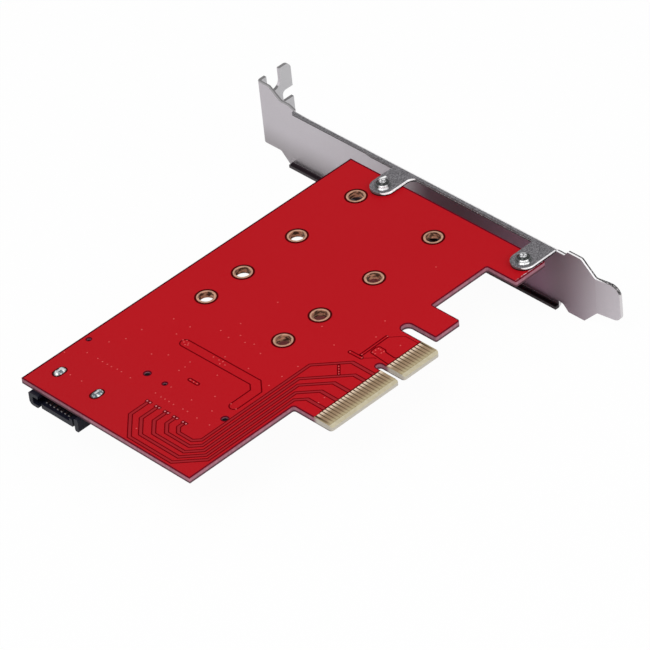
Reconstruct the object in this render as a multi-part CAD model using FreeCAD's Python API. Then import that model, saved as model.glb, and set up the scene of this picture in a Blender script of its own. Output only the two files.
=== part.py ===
import FreeCAD, Part
import math
import os

# Expansion card that carries two drive modules, lying with its solder side up.
# Millimetres. X runs from the drive port to the bracket, Y from the finger tongue up the board.
# The origin is on the solder side, in the middle of the key notch and level with the tongue's tip.

# Circuit board
board_thickness = 1.6
board_height = 68.9
port_edge_x = -55.6
bracket_edge_x = 52.6
drilled_clearance = 0.05

# Finger tongue, key notch and the hook beside it
contact_pitch = 1.0
contact_width = 0.7
contact_length = 4.7
contact_thickness = 0.05
short_run_contacts = 11
long_run_contacts = 21
key_to_contact = 1.5
finger_margin = 1.1
tongue_reach = 12.4
bevel_length = 1.0
bevel_angle = 20.0
key_width = 1.9
key_depth = 8.1
tongue_corner = 1.0
tongue_fillet = 0.7
retention_slot_width = 3.2
neck_rise = 1.2
hook_width = 8.0
hook_reach = 8.0
recess_width = 18.7
foot_reach = 8.2
small_corner = 0.5

# Module stations: the socket end of the modules, their lengths and the two rows
module_end_x = -37.4
module_lengths = (30.0, 42.0, 60.0, 80.0)
lower_row_y = 31.25
row_spacing = 25.9
ring_diameter = 4.9
standoff_hole = 3.7
plating_wall = 0.1
ring_thickness = 0.05

# Module sockets
socket_height = 4.2
socket_lift = 0.1
socket_rear = 4.0
slot_depth = 4.0
slot_width = 20.1
cheek_wall = 0.9
peg_from_end = 0.95
slot_floor = 2.2
slot_roof = 3.5
roof_setback = 1.4
key_rib_width = 1.1
key_rib_setback = 1.2
mouth_chamfer = 0.3
socket_contacts_per_row = 38
socket_contact_pitch = 0.5
socket_contact_width = 0.22
socket_contact_metal = 0.16
rear_tail = 1.3
rear_riser_inset = 0.45
front_tail = 0.8
front_riser_inset = 1.0
beam_end_gap = 0.4
beam_tip_setback = 0.8
nvme_key_offset = -6.125
sata_key_offset = 5.625
key_gap = 1.9
peg_from_module_end = 1.5
small_peg = 1.0
large_peg = 1.5
peg_length = 1.1
hold_down_metal = 0.3
hold_down_width = 2.2
hold_down_height = 2.6
hold_down_foot = 0.4

# Drive port
port_overhang = 1.2
port_depth = 10.4
port_width = 16.9
port_height = 3.6
port_block_depth = 3.6
guide_wall = 1.3
wide_guide = 3.2
guide_lip = 0.85
port_corner = 0.4
tongue_width = 10.7
tongue_offset = 0.75
tongue_metal_side = 2.0
tongue_thickness = 1.3
tongue_setback = 0.3
key_leg_width = 1.0
key_leg_height = 0.9
port_contacts = 7
port_contact_pitch = 1.27
port_contact_width = 0.8
port_contact_metal = 0.15
port_contact_setback = 1.0
port_tail = 1.2
port_riser_inset = 0.6
lock_spacing = 12.8
lock_from_front = 8.35
lock_width = 1.5
lock_metal = 0.5
lock_depth = 2.6
lock_proud = 0.6
lock_hole = 1.9
joint_length = 3.5
joint_width = 2.1
joint_slope = 0.5
joint_height = 0.5

# Bracket: one folded sheet
sheet = 0.86
inner_bend = 0.4
plate_gap = 4.2
bracket_length = 120.02
bracket_rise = 36.8
plate_width = 18.42
plate_low_z = -16.8
end_shift = 2.8
end_straight = 4.2
end_slope = 3.8
upper_ear_length = 2.7
upper_ear_slope = 2.0
lower_ear_gap = 2.5
lower_ear_slope = 1.1
lower_ear_length = 4.3
fold_zone = 2.0
ear_notch_floor = 0.2
lower_lip = 1.3
lower_lip_short = 0.4
lower_lip_lead = 0.35
lower_slope_lead = 1.0
narrow_lip = 0.65
wide_lip = 0.95
lip_step_from_tab = 10.0
lip_step_length = 2.0
tongue_slope = 4.2
tongue_round = 3.0
tongue_low_gap = 4.4
bracket_tongue_width = 10.19
bracket_tongue_angle = 8.0
relief_width = 1.4
relief_height = 1.7
relief_slope = 1.6
flange_depth = 11.0
flange_slot_width = 4.42
flange_slot_x = 4.95
flange_slot_bottom = 5.5
flange_notch_depth = 3.5
flange_notch_height = 3.3
flange_notch_drop = 7.2
flange_corner = 1.8
tab_width = 6.5
tab_reach = 6.85
tab_fillet = 0.9
tab_far_fillet = 1.9
screw_from_edge = 3.6
screw_from_top = 14.6
screw_spacing = 46.5
collar_radius = 1.8
collar_flare = 0.35
collar_height = 0.9
collar_chamfer = 0.2

# Bracket screws
screw_radius = 1.5
thread_play = 0.04
board_screw_hole = 3.2
head_radius = 2.75
head_height = 1.8
head_edge = 0.9
recess_arm = 1.5
recess_slot = 0.6
recess_depth = 1.0
tip_proud = 0.4
tip_chamfer = 0.5

# Power parts and small parts on the component side
parts_from_edge = 6.0
regulator_rise = 25.3
regulator_size = (4.9, 3.9, 1.45)
regulator_lift = 0.15
lead_pitch = 1.27
lead_width = 0.41
lead_metal = 0.2
lead_reach = 1.05
lead_foot = 0.5
leads_per_side = 4
inductor_rise = 16.2
inductor_size = (6.6, 6.4, 2.9)
inductor_corner = 1.0
inductor_terminal = (0.2, 2.8, 1.6)
bulk_capacitor_rise = 8.1
bulk_capacitor_size = (2.8, 3.5, 1.9)
bulk_capacitor_spacing = 5.4
bulk_terminal = (2.2, 0.15, 1.1)
chip_end_share = 0.2
large_chip = (2.0, 1.25, 0.85)
small_chip = (1.6, 0.8, 0.5)
tiny_chip = (1.0, 0.5, 0.5)
coupling_count = 8
coupling_pitch = 1.6
coupling_start_x = -19.0
coupling_rise = 3.4
light_rise = 2.6
light_spacing = 4.2
light_resistor_gap = 2.0
light_base_height = 0.3
light_lens_height = 0.5
light_lens_inset = 0.25

# Places that follow from the sizes
board_low_z = -board_thickness
tongue_left_x = -(key_to_contact + (long_run_contacts - 1) * contact_pitch + finger_margin)
tongue_right_x = key_to_contact + (short_run_contacts - 1) * contact_pitch + finger_margin
hook_left_x = tongue_right_x + retention_slot_width
hook_right_x = hook_left_x + hook_width
recess_right_x = hook_right_x + recess_width
row_ys = (lower_row_y, lower_row_y + row_spacing)
socket_length = slot_width + 2 * cheek_wall
peg_spacing = socket_length - 2 * peg_from_end
peg_x = module_end_x + peg_from_module_end
plate_x = bracket_edge_x + plate_gap
outer_x = plate_x + sheet
plate_high_z = plate_low_z + plate_width
bracket_top_y = board_height + bracket_rise
bracket_low_y = bracket_top_y - bracket_length
upper_slope_end = bracket_top_y - end_straight - end_slope
upper_ear_end = upper_slope_end - upper_ear_length
upper_fold_start = upper_ear_end - upper_ear_slope
lower_fold_start = upper_ear_end + lower_lip_lead
screw_x = bracket_edge_x - screw_from_edge
screw_ys = (board_height - screw_from_top, board_height - screw_from_top - screw_spacing)
upper_fold_end = screw_ys[1] - tab_width / 2
lower_fold_end = upper_fold_end + lower_lip_short
lower_ear_start = upper_fold_end - lower_ear_gap - lower_ear_slope
lower_ear_end = lower_ear_start - lower_ear_length
tongue_start_y = lower_ear_end - tongue_slope
parts_column_x = port_edge_x + parts_from_edge
port_front_x = port_edge_x - port_overhang
port_centre_y = row_ys[1]
lock_x = port_front_x + lock_from_front
lock_ys = (port_centre_y + lock_spacing / 2, port_centre_y - lock_spacing / 2)


def vec(x, y, z):
    return FreeCAD.Vector(x, y, z)


def block(x_range, y_range, z_range):
    """Box between pairs of limits, in any order."""
    low = [min(pair) for pair in (x_range, y_range, z_range)]
    size = [abs(pair[1] - pair[0]) for pair in (x_range, y_range, z_range)]
    return Part.makeBox(size[0], size[1], size[2], vec(*low))


def post(x, y, z_range, radius):
    """Upright cylinder."""
    low, high = min(z_range), max(z_range)
    return Part.makeCylinder(radius, high - low, vec(x, y, low))


def cone(x, y, low, high, low_radius, high_radius):
    """Upright cone stump."""
    return Part.makeCone(low_radius, high_radius, high - low, vec(x, y, low))


def rounded_wire(corners):
    """Closed wire through (point, radius) corners; a radius of 0 leaves the corner sharp."""
    points = [corner[0] for corner in corners]
    edges = []
    entries = []
    exits = []
    arcs = []
    for index, (point, radius) in enumerate(corners):
        back = (points[index - 1] - point).normalize()
        ahead = (points[(index + 1) % len(points)] - point).normalize()
        if radius == 0:
            entries.append(point)
            exits.append(point)
            arcs.append(None)
            continue
        half = back.getAngle(ahead) / 2
        setback = radius / math.tan(half)
        middle_way = (back + ahead).normalize()
        apex = point + middle_way * (radius / math.sin(half) - radius)
        entries.append(point + back * setback)
        exits.append(point + ahead * setback)
        arcs.append(Part.Arc(entries[-1], apex, exits[-1]).toShape())
    for index, arc in enumerate(arcs):
        if arc is not None:
            edges.append(arc)
        start = exits[index]
        end = entries[(index + 1) % len(points)]
        if start.distanceToPoint(end) > 1e-6:
            edges.append(Part.makeLine(start, end))
    return Part.Wire(edges)


def prism_z(outline, z_range):
    """Solid between two heights; outline holds (x, y, radius)."""
    corners = [(vec(x, y, z_range[0]), radius) for x, y, radius in outline]
    return Part.Face(rounded_wire(corners)).extrude(vec(0, 0, z_range[1] - z_range[0]))


def prism_x(outline, x_range):
    """Solid along X; outline holds (y, z, radius)."""
    corners = [(vec(x_range[0], y, z), radius) for y, z, radius in outline]
    return Part.Face(rounded_wire(corners)).extrude(vec(x_range[1] - x_range[0], 0, 0))


def prism_y(outline, y_range):
    """Solid along Y; outline holds (x, z, radius)."""
    corners = [(vec(x, y_range[0], z), radius) for x, z, radius in outline]
    return Part.Face(rounded_wire(corners)).extrude(vec(0, y_range[1] - y_range[0], 0))


def strip(path, metal):
    """Corners of a thin bent strip of sheet metal whose middle line runs through path."""
    left = []
    right = []
    for index, (a, b) in enumerate(path):
        before = path[max(index - 1, 0)]
        after = path[min(index + 1, len(path) - 1)]
        if index == 0:
            before = (2 * a - after[0], 2 * b - after[1])
        if index == len(path) - 1:
            after = (2 * a - before[0], 2 * b - before[1])
        first = math.atan2(b - before[1], a - before[0])
        second = math.atan2(after[1] - b, after[0] - a)
        middle = (first + second) / 2
        reach = metal / 2 / math.cos((second - first) / 2)
        left.append((a - reach * math.sin(middle), b + reach * math.cos(middle), 0))
        right.append((a + reach * math.sin(middle), b - reach * math.cos(middle), 0))
    return left + right[::-1]


def below(height):
    """Height below the component side, as a Z value."""
    return board_low_z - height


def finger_xs():
    """Middle of each edge contact, on both sides of the key notch."""
    short_run = [key_to_contact + i * contact_pitch for i in range(short_run_contacts)]
    long_run = [-key_to_contact - i * contact_pitch for i in range(long_run_contacts)]
    return short_run[::-1] + long_run


def circuit_board():
    """Laminate with its finger tongue, notch, slot, hook, recess, foot and drilled holes."""
    neck_y = tongue_reach + neck_rise
    hook_y = tongue_reach - hook_reach
    foot_y = tongue_reach - foot_reach
    outline = [
        (port_edge_x, board_height, 0),
        (port_edge_x, tongue_reach, 0),
        (tongue_left_x, tongue_reach, tongue_fillet),
        (tongue_left_x, 0, small_corner),
        (-key_width / 2, 0, small_corner),
        (-key_width / 2, key_depth, key_width / 2),
        (key_width / 2, key_depth, key_width / 2),
        (key_width / 2, 0, small_corner),
        (tongue_right_x, 0, tongue_corner),
        (tongue_right_x, neck_y, retention_slot_width / 2),
        (hook_left_x, neck_y, retention_slot_width / 2),
        (hook_left_x, hook_y, small_corner),
        (hook_right_x, hook_y, small_corner),
        (hook_right_x, neck_y, small_corner),
        (recess_right_x, neck_y, small_corner),
        (recess_right_x, foot_y, small_corner),
        (bracket_edge_x, foot_y, small_corner),
        (bracket_edge_x, board_height, 0),
    ]
    board = prism_z(outline, (board_low_z, 0))
    bevel_depth = bevel_length * math.tan(math.radians(bevel_angle))
    for face_z, into in ((0, -bevel_depth), (board_low_z, bevel_depth)):
        wedge = [
            (bevel_length, face_z, 0),
            (0, face_z, 0),
            (0, face_z + into, 0),
        ]
        board = board.cut(prism_x(wedge, (tongue_left_x, tongue_right_x)))
    drills = []
    through = (board_low_z, 0)
    for y in row_ys:
        for length in module_lengths:
            drills.append(post(module_end_x + length, y, through, standoff_hole / 2 + plating_wall))
        small_y = y + peg_spacing / 2
        large_y = y - peg_spacing / 2
        drills.append(post(peg_x, small_y, through, small_peg / 2 + drilled_clearance))
        drills.append(post(peg_x, large_y, through, large_peg / 2 + drilled_clearance))
    for y in screw_ys:
        drills.append(post(screw_x, y, through, board_screw_hole / 2))
    for y in lock_ys:
        drills.append(post(lock_x, y, through, lock_hole / 2))
    return board.cut(Part.makeCompound(drills))


def edge_contacts(z_range):
    """Gold fingers on one face of the tongue."""
    along = (bevel_length, bevel_length + contact_length)
    pads = []
    for x in finger_xs():
        across = (x - contact_width / 2, x + contact_width / 2)
        pads.append(block(across, along, z_range))
    return pads


def standoff_ring(x, y):
    """Plated sleeve with a land on each face of the board."""
    bore = standoff_hole / 2
    sleeve = post(x, y, (board_low_z - ring_thickness, ring_thickness), bore + plating_wall)
    upper = post(x, y, (0, ring_thickness), ring_diameter / 2)
    lower = post(x, y, (board_low_z - ring_thickness, board_low_z), ring_diameter / 2)
    ring = sleeve.fuse([upper, lower]).removeSplitter()
    return ring.cut(post(x, y, (board_low_z - 1, 1), bore))


def standoff_rings():
    return [standoff_ring(module_end_x + length, y) for y in row_ys for length in module_lengths]


def plate_outline():
    """Flat outline of the bracket's plate as (y, z, radius), open where the folds join it."""
    end_high = plate_high_z + end_shift
    end_low = plate_low_z + end_shift
    tongue_low = plate_low_z + tongue_low_gap
    tongue_high = tongue_low + bracket_tongue_width
    slope_foot = lower_fold_start + lower_slope_lead
    return [
        (bracket_top_y, end_high, 0),
        (bracket_top_y - end_straight, end_high, 1.0),
        (upper_slope_end, plate_high_z, 1.0),
        (upper_ear_end, plate_high_z, 0.3),
        (upper_fold_start, sheet, 0),
        (upper_fold_start, sheet - fold_zone, 0),
        (upper_fold_end, sheet - fold_zone, 0),
        (upper_fold_end, ear_notch_floor, 0),
        (lower_ear_start + lower_ear_slope, ear_notch_floor, 0.3),
        (lower_ear_start, plate_high_z, 0.3),
        (lower_ear_end, plate_high_z, 1.0),
        (tongue_start_y, tongue_high, 1.0),
        (bracket_low_y, tongue_high, tongue_round),
        (bracket_low_y, tongue_low, 2.0),
        (tongue_start_y, tongue_low, 0.8),
        (tongue_start_y + tongue_low_gap, plate_low_z, 0.5),
        (lower_fold_end - relief_width - relief_slope, plate_low_z, 0),
        (lower_fold_end - relief_width, plate_low_z + relief_height, 0),
        (lower_fold_end, plate_low_z + fold_zone, 0),
        (lower_fold_start, plate_low_z + fold_zone, 0),
        (lower_fold_start, plate_low_z, 0),
        (slope_foot, plate_low_z, 0),
        (slope_foot + end_shift, end_low, 0.8),
        (bracket_top_y, end_low, 0),
    ]


def bent_strip():
    """Plate with its screw flange and its slightly bent tongue, seen from above."""
    angle = math.radians(bracket_tongue_angle)
    length = tongue_start_y - bracket_low_y
    lean = length * math.tan(angle)
    wall = sheet / math.cos(angle)
    section = [
        (plate_x + flange_depth, bracket_top_y, 0),
        (plate_x, bracket_top_y, inner_bend + sheet),
        (plate_x, tongue_start_y, 0),
        (plate_x + lean, bracket_low_y, 0),
        (plate_x + lean + wall, bracket_low_y, 0),
        (outer_x, tongue_start_y, 0),
        (outer_x, bracket_top_y - sheet, inner_bend),
        (plate_x + flange_depth, bracket_top_y - sheet, 0),
    ]
    return prism_z(section, (plate_low_z, plate_high_z + end_shift))


def flange_cuts():
    """Screw slot, side notch and rounded corner of the flange."""
    top = plate_high_z + end_shift
    slot_x = plate_x + flange_slot_x
    across = (bracket_top_y - 2 * sheet, bracket_top_y + sheet)
    half = flange_slot_width / 2
    slot = prism_y([
        (slot_x - half, top + 1, 0),
        (slot_x - half, top - flange_slot_bottom, half),
        (slot_x + half, top - flange_slot_bottom, half),
        (slot_x + half, top + 1, 0),
    ], across)
    edge_x = plate_x + flange_depth
    notch_top = top - flange_notch_drop
    notch = prism_y([
        (edge_x + 1, notch_top, 0),
        (edge_x - flange_notch_depth, notch_top, flange_notch_height / 3),
        (edge_x - flange_notch_depth, notch_top - flange_notch_height, flange_notch_height / 5),
        (edge_x + 1, notch_top - flange_notch_height, 0),
    ], across)
    corner_block = block((edge_x - flange_corner, edge_x), across, (top - flange_corner, top))
    centre = vec(edge_x - flange_corner, across[0], top - flange_corner)
    roller = Part.makeCylinder(flange_corner, across[1] - across[0], centre, vec(0, 1, 0))
    return [slot, notch, corner_block.cut(roller)]


def tab_outline():
    """Edge of the upper fold seen from above: lip, two round-ended tabs and the bare strip."""
    tip_x = bracket_edge_x - tab_reach
    half = tab_width / 2
    lip_x = plate_x - narrow_lip
    wide_x = plate_x - wide_lip
    first, second = screw_ys
    lip_step_y = first + half + lip_step_from_tab
    return [
        (outer_x, upper_fold_start, 0),
        (lip_x, upper_fold_start, 0.3),
        (lip_x, lip_step_y, 0.5),
        (wide_x, lip_step_y - lip_step_length, 0.5),
        (wide_x, first + half, 0.3),
        (tip_x, first + half, half),
        (tip_x, first - half, half),
        (wide_x, first - half, tab_far_fillet),
        (wide_x, second + half, tab_fillet),
        (tip_x, second + half, half),
        (tip_x, second - half, half),
        (plate_x, second - half, 0),
        (outer_x, upper_fold_end, 0),
    ]


def upper_fold():
    """Upper edge of the plate folded over the board, with the two tabs."""
    bend = inner_bend + sheet
    section = [
        (outer_x, sheet - fold_zone, 0),
        (outer_x, sheet, bend),
        (bracket_edge_x - tab_reach, sheet, 0),
        (bracket_edge_x - tab_reach, 0, 0),
        (plate_x, 0, inner_bend),
        (plate_x, sheet - fold_zone, 0),
    ]
    fold = prism_y(section, (upper_fold_end, upper_fold_start))
    return fold.common(prism_z(tab_outline(), (sheet - fold_zone, sheet)))


def lower_fold():
    """Lower edge of the plate folded inwards as a narrow lip."""
    bend = inner_bend + sheet
    lip_x = plate_x - lower_lip
    section = [
        (outer_x, plate_low_z + fold_zone, 0),
        (outer_x, plate_low_z, bend),
        (lip_x, plate_low_z, 0),
        (lip_x, plate_low_z + sheet, 0),
        (plate_x, plate_low_z + sheet, inner_bend),
        (plate_x, plate_low_z + fold_zone, 0),
    ]
    return prism_y(section, (lower_fold_end, lower_fold_start))


def tab_collar(y):
    """Drawn collar that holds the screw's thread."""
    flare_top = sheet + collar_flare
    straight_top = sheet + collar_height - collar_chamfer
    top = sheet + collar_height
    foot = cone(screw_x, y, sheet, flare_top, collar_radius + collar_flare, collar_radius)
    wall = post(screw_x, y, (flare_top, straight_top), collar_radius)
    rim = cone(screw_x, y, straight_top, top, collar_radius, collar_radius - collar_chamfer)
    return foot.fuse([wall, rim])


def mounting_bracket():
    """Folded sheet: plate, screw flange, lips, tapped tabs and tongue."""
    plate = bent_strip().common(prism_x(plate_outline(), (plate_x - 1, plate_x + flange_depth + 1)))
    bracket = plate.fuse([upper_fold(), lower_fold()] + [tab_collar(y) for y in screw_ys])
    bracket = bracket.cut(Part.makeCompound(flange_cuts())).removeSplitter()
    holes = [post(screw_x, y, (-1, sheet + collar_height + 1), screw_radius) for y in screw_ys]
    return bracket.cut(Part.makeCompound(holes))


def bracket_screw(y):
    """Pan-head screw with a cross recess; its head seats on the component side."""
    tip_z = sheet + collar_height + tip_proud
    shank_radius = screw_radius - thread_play
    shank = post(screw_x, y, (board_low_z, tip_z - tip_chamfer), shank_radius)
    tip = cone(screw_x, y, tip_z - tip_chamfer, tip_z, shank_radius, shank_radius - tip_chamfer)
    edge_z = below(head_edge)
    head_z = below(head_height)
    rim = post(screw_x, y, (board_low_z, edge_z), head_radius)
    crown = cone(screw_x, y, head_z, edge_z, head_radius * 0.6, head_radius)
    screw = shank.fuse([tip, rim, crown]).removeSplitter()
    recess_z = (head_z, head_z + recess_depth)
    half = recess_slot / 2
    first = block((screw_x - recess_arm, screw_x + recess_arm), (y - half, y + half), recess_z)
    second = block((screw_x - half, screw_x + half), (y - recess_arm, y + recess_arm), recess_z)
    return screw.cut(first.fuse(second))


def socket_contact_ys(row_y, key_offset):
    """Contact places of the rear row and of the front row, which sits half a pitch over."""
    half = socket_contact_pitch / 2
    span = (socket_contacts_per_row - 1) * half
    rear = [-span + i * socket_contact_pitch for i in range(socket_contacts_per_row)]
    front = [y + half for y in rear[:-1]]
    rows = []
    for row in (rear, front):
        rows.append([row_y + y for y in row if abs(y - key_offset) > key_gap / 2])
    return rows


def socket_contacts(row_y, key_offset):
    """Stamped contacts: a soldered tail, a riser in the housing and a beam in the slot."""
    rear_y, front_y = socket_contact_ys(row_y, key_offset)
    foot = socket_contact_metal / 2
    rear_x = module_end_x - socket_rear
    front_x = module_end_x + slot_depth
    riser_x = rear_x + rear_riser_inset
    rear_path = [
        (rear_x - rear_tail, below(foot)),
        (riser_x, below(foot)),
        (riser_x, below(slot_roof)),
        (front_x - roof_setback - beam_tip_setback, below(slot_roof)),
    ]
    riser_x = front_x - front_riser_inset
    front_path = [
        (front_x + front_tail, below(foot)),
        (riser_x, below(foot)),
        (riser_x, below(slot_floor)),
        (module_end_x + beam_end_gap, below(slot_floor)),
    ]
    contacts = []
    for path, ys in ((rear_path, rear_y), (front_path, front_y)):
        outline = strip(path, socket_contact_metal)
        half = socket_contact_width / 2
        contacts += [prism_y(outline, (y - half, y + half)) for y in ys]
    return contacts


def socket_housing(row_y, key_offset, contacts):
    """Moulded housing with an angled-entry slot, a key rib and two pegs of unlike size."""
    rear_x = module_end_x - socket_rear
    front_x = module_end_x + slot_depth
    roof_x = front_x - roof_setback
    section = [
        (rear_x, below(socket_lift), 0),
        (front_x, below(socket_lift), 0),
        (front_x, below(slot_floor - mouth_chamfer), 0),
        (front_x - 2 * mouth_chamfer, below(slot_floor), 0),
        (module_end_x, below(slot_floor), 0),
        (module_end_x, below(slot_roof), 0),
        (roof_x - mouth_chamfer, below(slot_roof), 0),
        (roof_x, below(slot_roof + mouth_chamfer), 0),
        (roof_x, below(socket_height), 0),
        (rear_x, below(socket_height), 0),
    ]
    half = socket_length / 2
    housing = prism_y(section, (row_y - half, row_y + half))
    upright = (below(socket_lift), below(socket_height))
    for end_y in (row_y - half, row_y + half - cheek_wall):
        housing = housing.fuse(block((rear_x, roof_x), (end_y, end_y + cheek_wall), upright))
    rib_y = (row_y + key_offset - key_rib_width / 2, row_y + key_offset + key_rib_width / 2)
    rib_x = (module_end_x, roof_x - key_rib_setback)
    housing = housing.fuse(block(rib_x, rib_y, (below(slot_floor), below(slot_roof))))
    peg_top = board_low_z + peg_length
    pegs = [
        post(peg_x, row_y + peg_spacing / 2, (below(socket_lift), peg_top), small_peg / 2),
        post(peg_x, row_y - peg_spacing / 2, (below(socket_lift), peg_top), large_peg / 2),
    ]
    housing = housing.fuse(pegs).removeSplitter()
    return housing.cut(Part.makeCompound(contacts))


def socket_hold_downs(row_y):
    """Metal angles that solder the socket's ends to the board."""
    half = socket_length / 2
    middle_x = module_end_x
    pieces = []
    for side in (-1, 1):
        wall_y = row_y + side * (half + hold_down_metal / 2)
        foot_y = wall_y + side * (hold_down_metal / 2 + hold_down_foot)
        path = [
            (foot_y, below(hold_down_metal / 2)),
            (wall_y, below(hold_down_metal / 2)),
            (wall_y, below(hold_down_height)),
        ]
        x_range = (middle_x - hold_down_width / 2, middle_x + hold_down_width / 2)
        pieces.append(prism_x(strip(path, hold_down_metal), x_range))
    return pieces


def port_contact_blades():
    """Contact blades: on the port's tongue, down through the block and out to solder tails."""
    rear_x = port_front_x + port_depth
    riser_x = rear_x - port_riser_inset
    blade_z = below(tongue_metal_side - port_contact_metal / 2)
    path = [
        (port_front_x + tongue_setback + port_contact_setback, blade_z),
        (riser_x, blade_z),
        (riser_x, below(port_contact_metal / 2)),
        (rear_x + port_tail, below(port_contact_metal / 2)),
    ]
    outline = strip(path, port_contact_metal)
    first_y = port_centre_y - (port_contacts - 1) * port_contact_pitch / 2
    blades = []
    for i in range(port_contacts):
        y = first_y + i * port_contact_pitch
        blades.append(prism_y(outline, (y - port_contact_width / 2, y + port_contact_width / 2)))
    return blades


def port_locks():
    """Board locks: blades that stand in the port's block and pass through the board."""
    locks = []
    for y in lock_ys:
        x_range = (lock_x - lock_width / 2, lock_x + lock_width / 2)
        y_range = (y - lock_metal / 2, y + lock_metal / 2)
        locks.append(block(x_range, y_range, (below(lock_depth), lock_proud)))
    return locks


def oblong_wire(x, y, z, length, width):
    """Level outline with straight long sides and round ends."""
    long_half = length / 2
    half = width / 2
    ends = [(-long_half, -half), (long_half, -half), (long_half, half), (-long_half, half)]
    return rounded_wire([(vec(x + across, y + along, z), half) for across, along in ends])


def port_solder_joints():
    """Oblong solder mounds on the solder side, round the tips of the board locks."""
    joints = []
    inset = 2 * joint_slope
    for y, lock in zip(lock_ys, port_locks()):
        foot = oblong_wire(lock_x, y, 0, joint_length, joint_width)
        crest = oblong_wire(lock_x, y, joint_height, joint_length - inset, joint_width - inset)
        joints.append(Part.makeLoft([foot, crest], True).cut(lock))
    return joints


def port_housing():
    """Port moulding: rear block, two guides and a keyed tongue between them."""
    rear_x = port_front_x + port_depth
    block_x = (rear_x - port_block_depth, rear_x)
    guide_x = (port_front_x, block_x[0])
    half = port_width / 2
    low_y = port_centre_y - half
    high_y = port_centre_y + half
    far_z = below(port_height)
    body = block(block_x, (low_y, high_y), (board_low_z, far_z))
    wide = prism_x([
        (high_y, board_low_z, port_corner),
        (high_y, far_z, port_corner * 3),
        (high_y - wide_guide, far_z, port_corner * 1.5),
        (high_y - wide_guide, far_z + guide_lip, 0),
        (high_y - guide_wall, far_z + guide_lip, port_corner),
        (high_y - guide_wall, below(guide_lip), port_corner),
        (high_y - wide_guide, below(guide_lip), 0),
        (high_y - wide_guide, board_low_z, 0),
    ], guide_x)
    narrow = prism_x([
        (low_y, board_low_z, port_corner),
        (low_y + guide_wall, board_low_z, port_corner),
        (low_y + guide_wall, far_z, port_corner),
        (low_y, far_z, port_corner),
    ], guide_x)
    tongue_low_y = port_centre_y - tongue_width / 2 - tongue_offset
    tongue_high_y = tongue_low_y + tongue_width
    metal_z = below(tongue_metal_side)
    tongue = prism_x([
        (tongue_high_y, metal_z, 0),
        (tongue_high_y, metal_z - tongue_thickness, 0.2),
        (tongue_low_y, metal_z - tongue_thickness, 0.2),
        (tongue_low_y, metal_z + key_leg_height, 0.2),
        (tongue_low_y + key_leg_width, metal_z + key_leg_height, 0.2),
        (tongue_low_y + key_leg_width, metal_z, 0),
    ], (port_front_x + tongue_setback, block_x[0]))
    housing = body.fuse([wide, narrow, tongue]).removeSplitter()
    return housing.cut(Part.makeCompound(port_contact_blades() + port_locks()))


def regulator():
    """Small power converter in an eight-lead package: body and leads."""
    length, width, height = regulator_size
    x = parts_column_x
    y = tongue_reach + regulator_rise
    x_range = (x - length / 2, x + length / 2)
    bottom = below(regulator_lift)
    top = below(regulator_lift + height)
    waist = (bottom + top) / 2
    lean = 0.12
    body = prism_x([
        (y - width / 2 + lean, bottom, 0),
        (y - width / 2, waist, 0),
        (y - width / 2 + lean, top, 0),
        (y + width / 2 - lean, top, 0),
        (y + width / 2, waist, 0),
        (y + width / 2 - lean, bottom, 0),
    ], x_range)
    leads = []
    foot_z = below(lead_metal / 2)
    for side in (-1, 1):
        wall = y + side * width / 2
        path = [
            (wall + side * lead_reach, foot_z),
            (wall + side * (lead_reach - lead_foot), foot_z),
            (wall + side * (lead_reach - lead_foot - 0.15), waist),
            (wall, waist),
        ]
        outline = strip(path, lead_metal)
        for i in range(leads_per_side):
            lead_x = x + (i - (leads_per_side - 1) / 2) * lead_pitch
            leads.append(prism_x(outline, (lead_x - lead_width / 2, lead_x + lead_width / 2)))
    return body.cut(Part.makeCompound(leads)), leads


def power_inductor():
    """Moulded inductor with a terminal plate on two sides."""
    length, width, height = inductor_size
    metal, plate_length, plate_height = inductor_terminal
    x = parts_column_x
    y = tongue_reach + inductor_rise
    body = prism_z([
        (x - length / 2, y - width / 2, inductor_corner),
        (x + length / 2, y - width / 2, inductor_corner),
        (x + length / 2, y + width / 2, inductor_corner),
        (x - length / 2, y + width / 2, inductor_corner),
    ], (below(height), board_low_z))
    terminals = []
    for side in (-1, 1):
        wall = x + side * length / 2
        y_range = (y - plate_length / 2, y + plate_length / 2)
        terminals.append(block((wall, wall + side * metal), y_range, (board_low_z, below(plate_height))))
    return body, terminals


def bulk_capacitors():
    """Two moulded capacitors with end terminals."""
    across, length, height = bulk_capacitor_size
    plate_width_x, metal, plate_height = bulk_terminal
    bodies = []
    terminals = []
    for side in (-1, 1):
        x = parts_column_x + side * bulk_capacitor_spacing / 2
        y = tongue_reach + bulk_capacitor_rise
        lean = 0.15
        bodies.append(prism_x([
            (y - length / 2, board_low_z, 0),
            (y - length / 2 + lean, below(height), 0),
            (y + length / 2 - lean, below(height), 0),
            (y + length / 2, board_low_z, 0),
        ], (x - across / 2, x + across / 2)))
        for end in (-1, 1):
            wall = y + end * length / 2
            x_range = (x - plate_width_x / 2, x + plate_width_x / 2)
            plate = block(x_range, (wall, wall + end * metal), (board_low_z, below(plate_height)))
            terminals.append(plate)
    return bodies, terminals


def chip(x, y, size, along_x):
    """Chip part lying on the board: its middle and its two metal ends."""
    length, width, height = size
    end = length * chip_end_share
    z_range = (board_low_z, below(height))
    spans = [
        (-length / 2, -length / 2 + end),
        (-length / 2 + end, length / 2 - end),
        (length / 2 - end, length / 2),
    ]
    solids = []
    for low, high in spans:
        if along_x:
            solids.append(block((x + low, x + high), (y - width / 2, y + width / 2), z_range))
        else:
            solids.append(block((x - width / 2, x + width / 2), (y + low, y + high), z_range))
    return solids[1], [solids[0], solids[2]]


def chips(places):
    """Chips at (x, y, size, along_x) places: all middles and all ends."""
    middles = []
    ends = []
    for place in places:
        middle, pair = chip(*place)
        middles.append(middle)
        ends += pair
    return middles, ends


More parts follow.
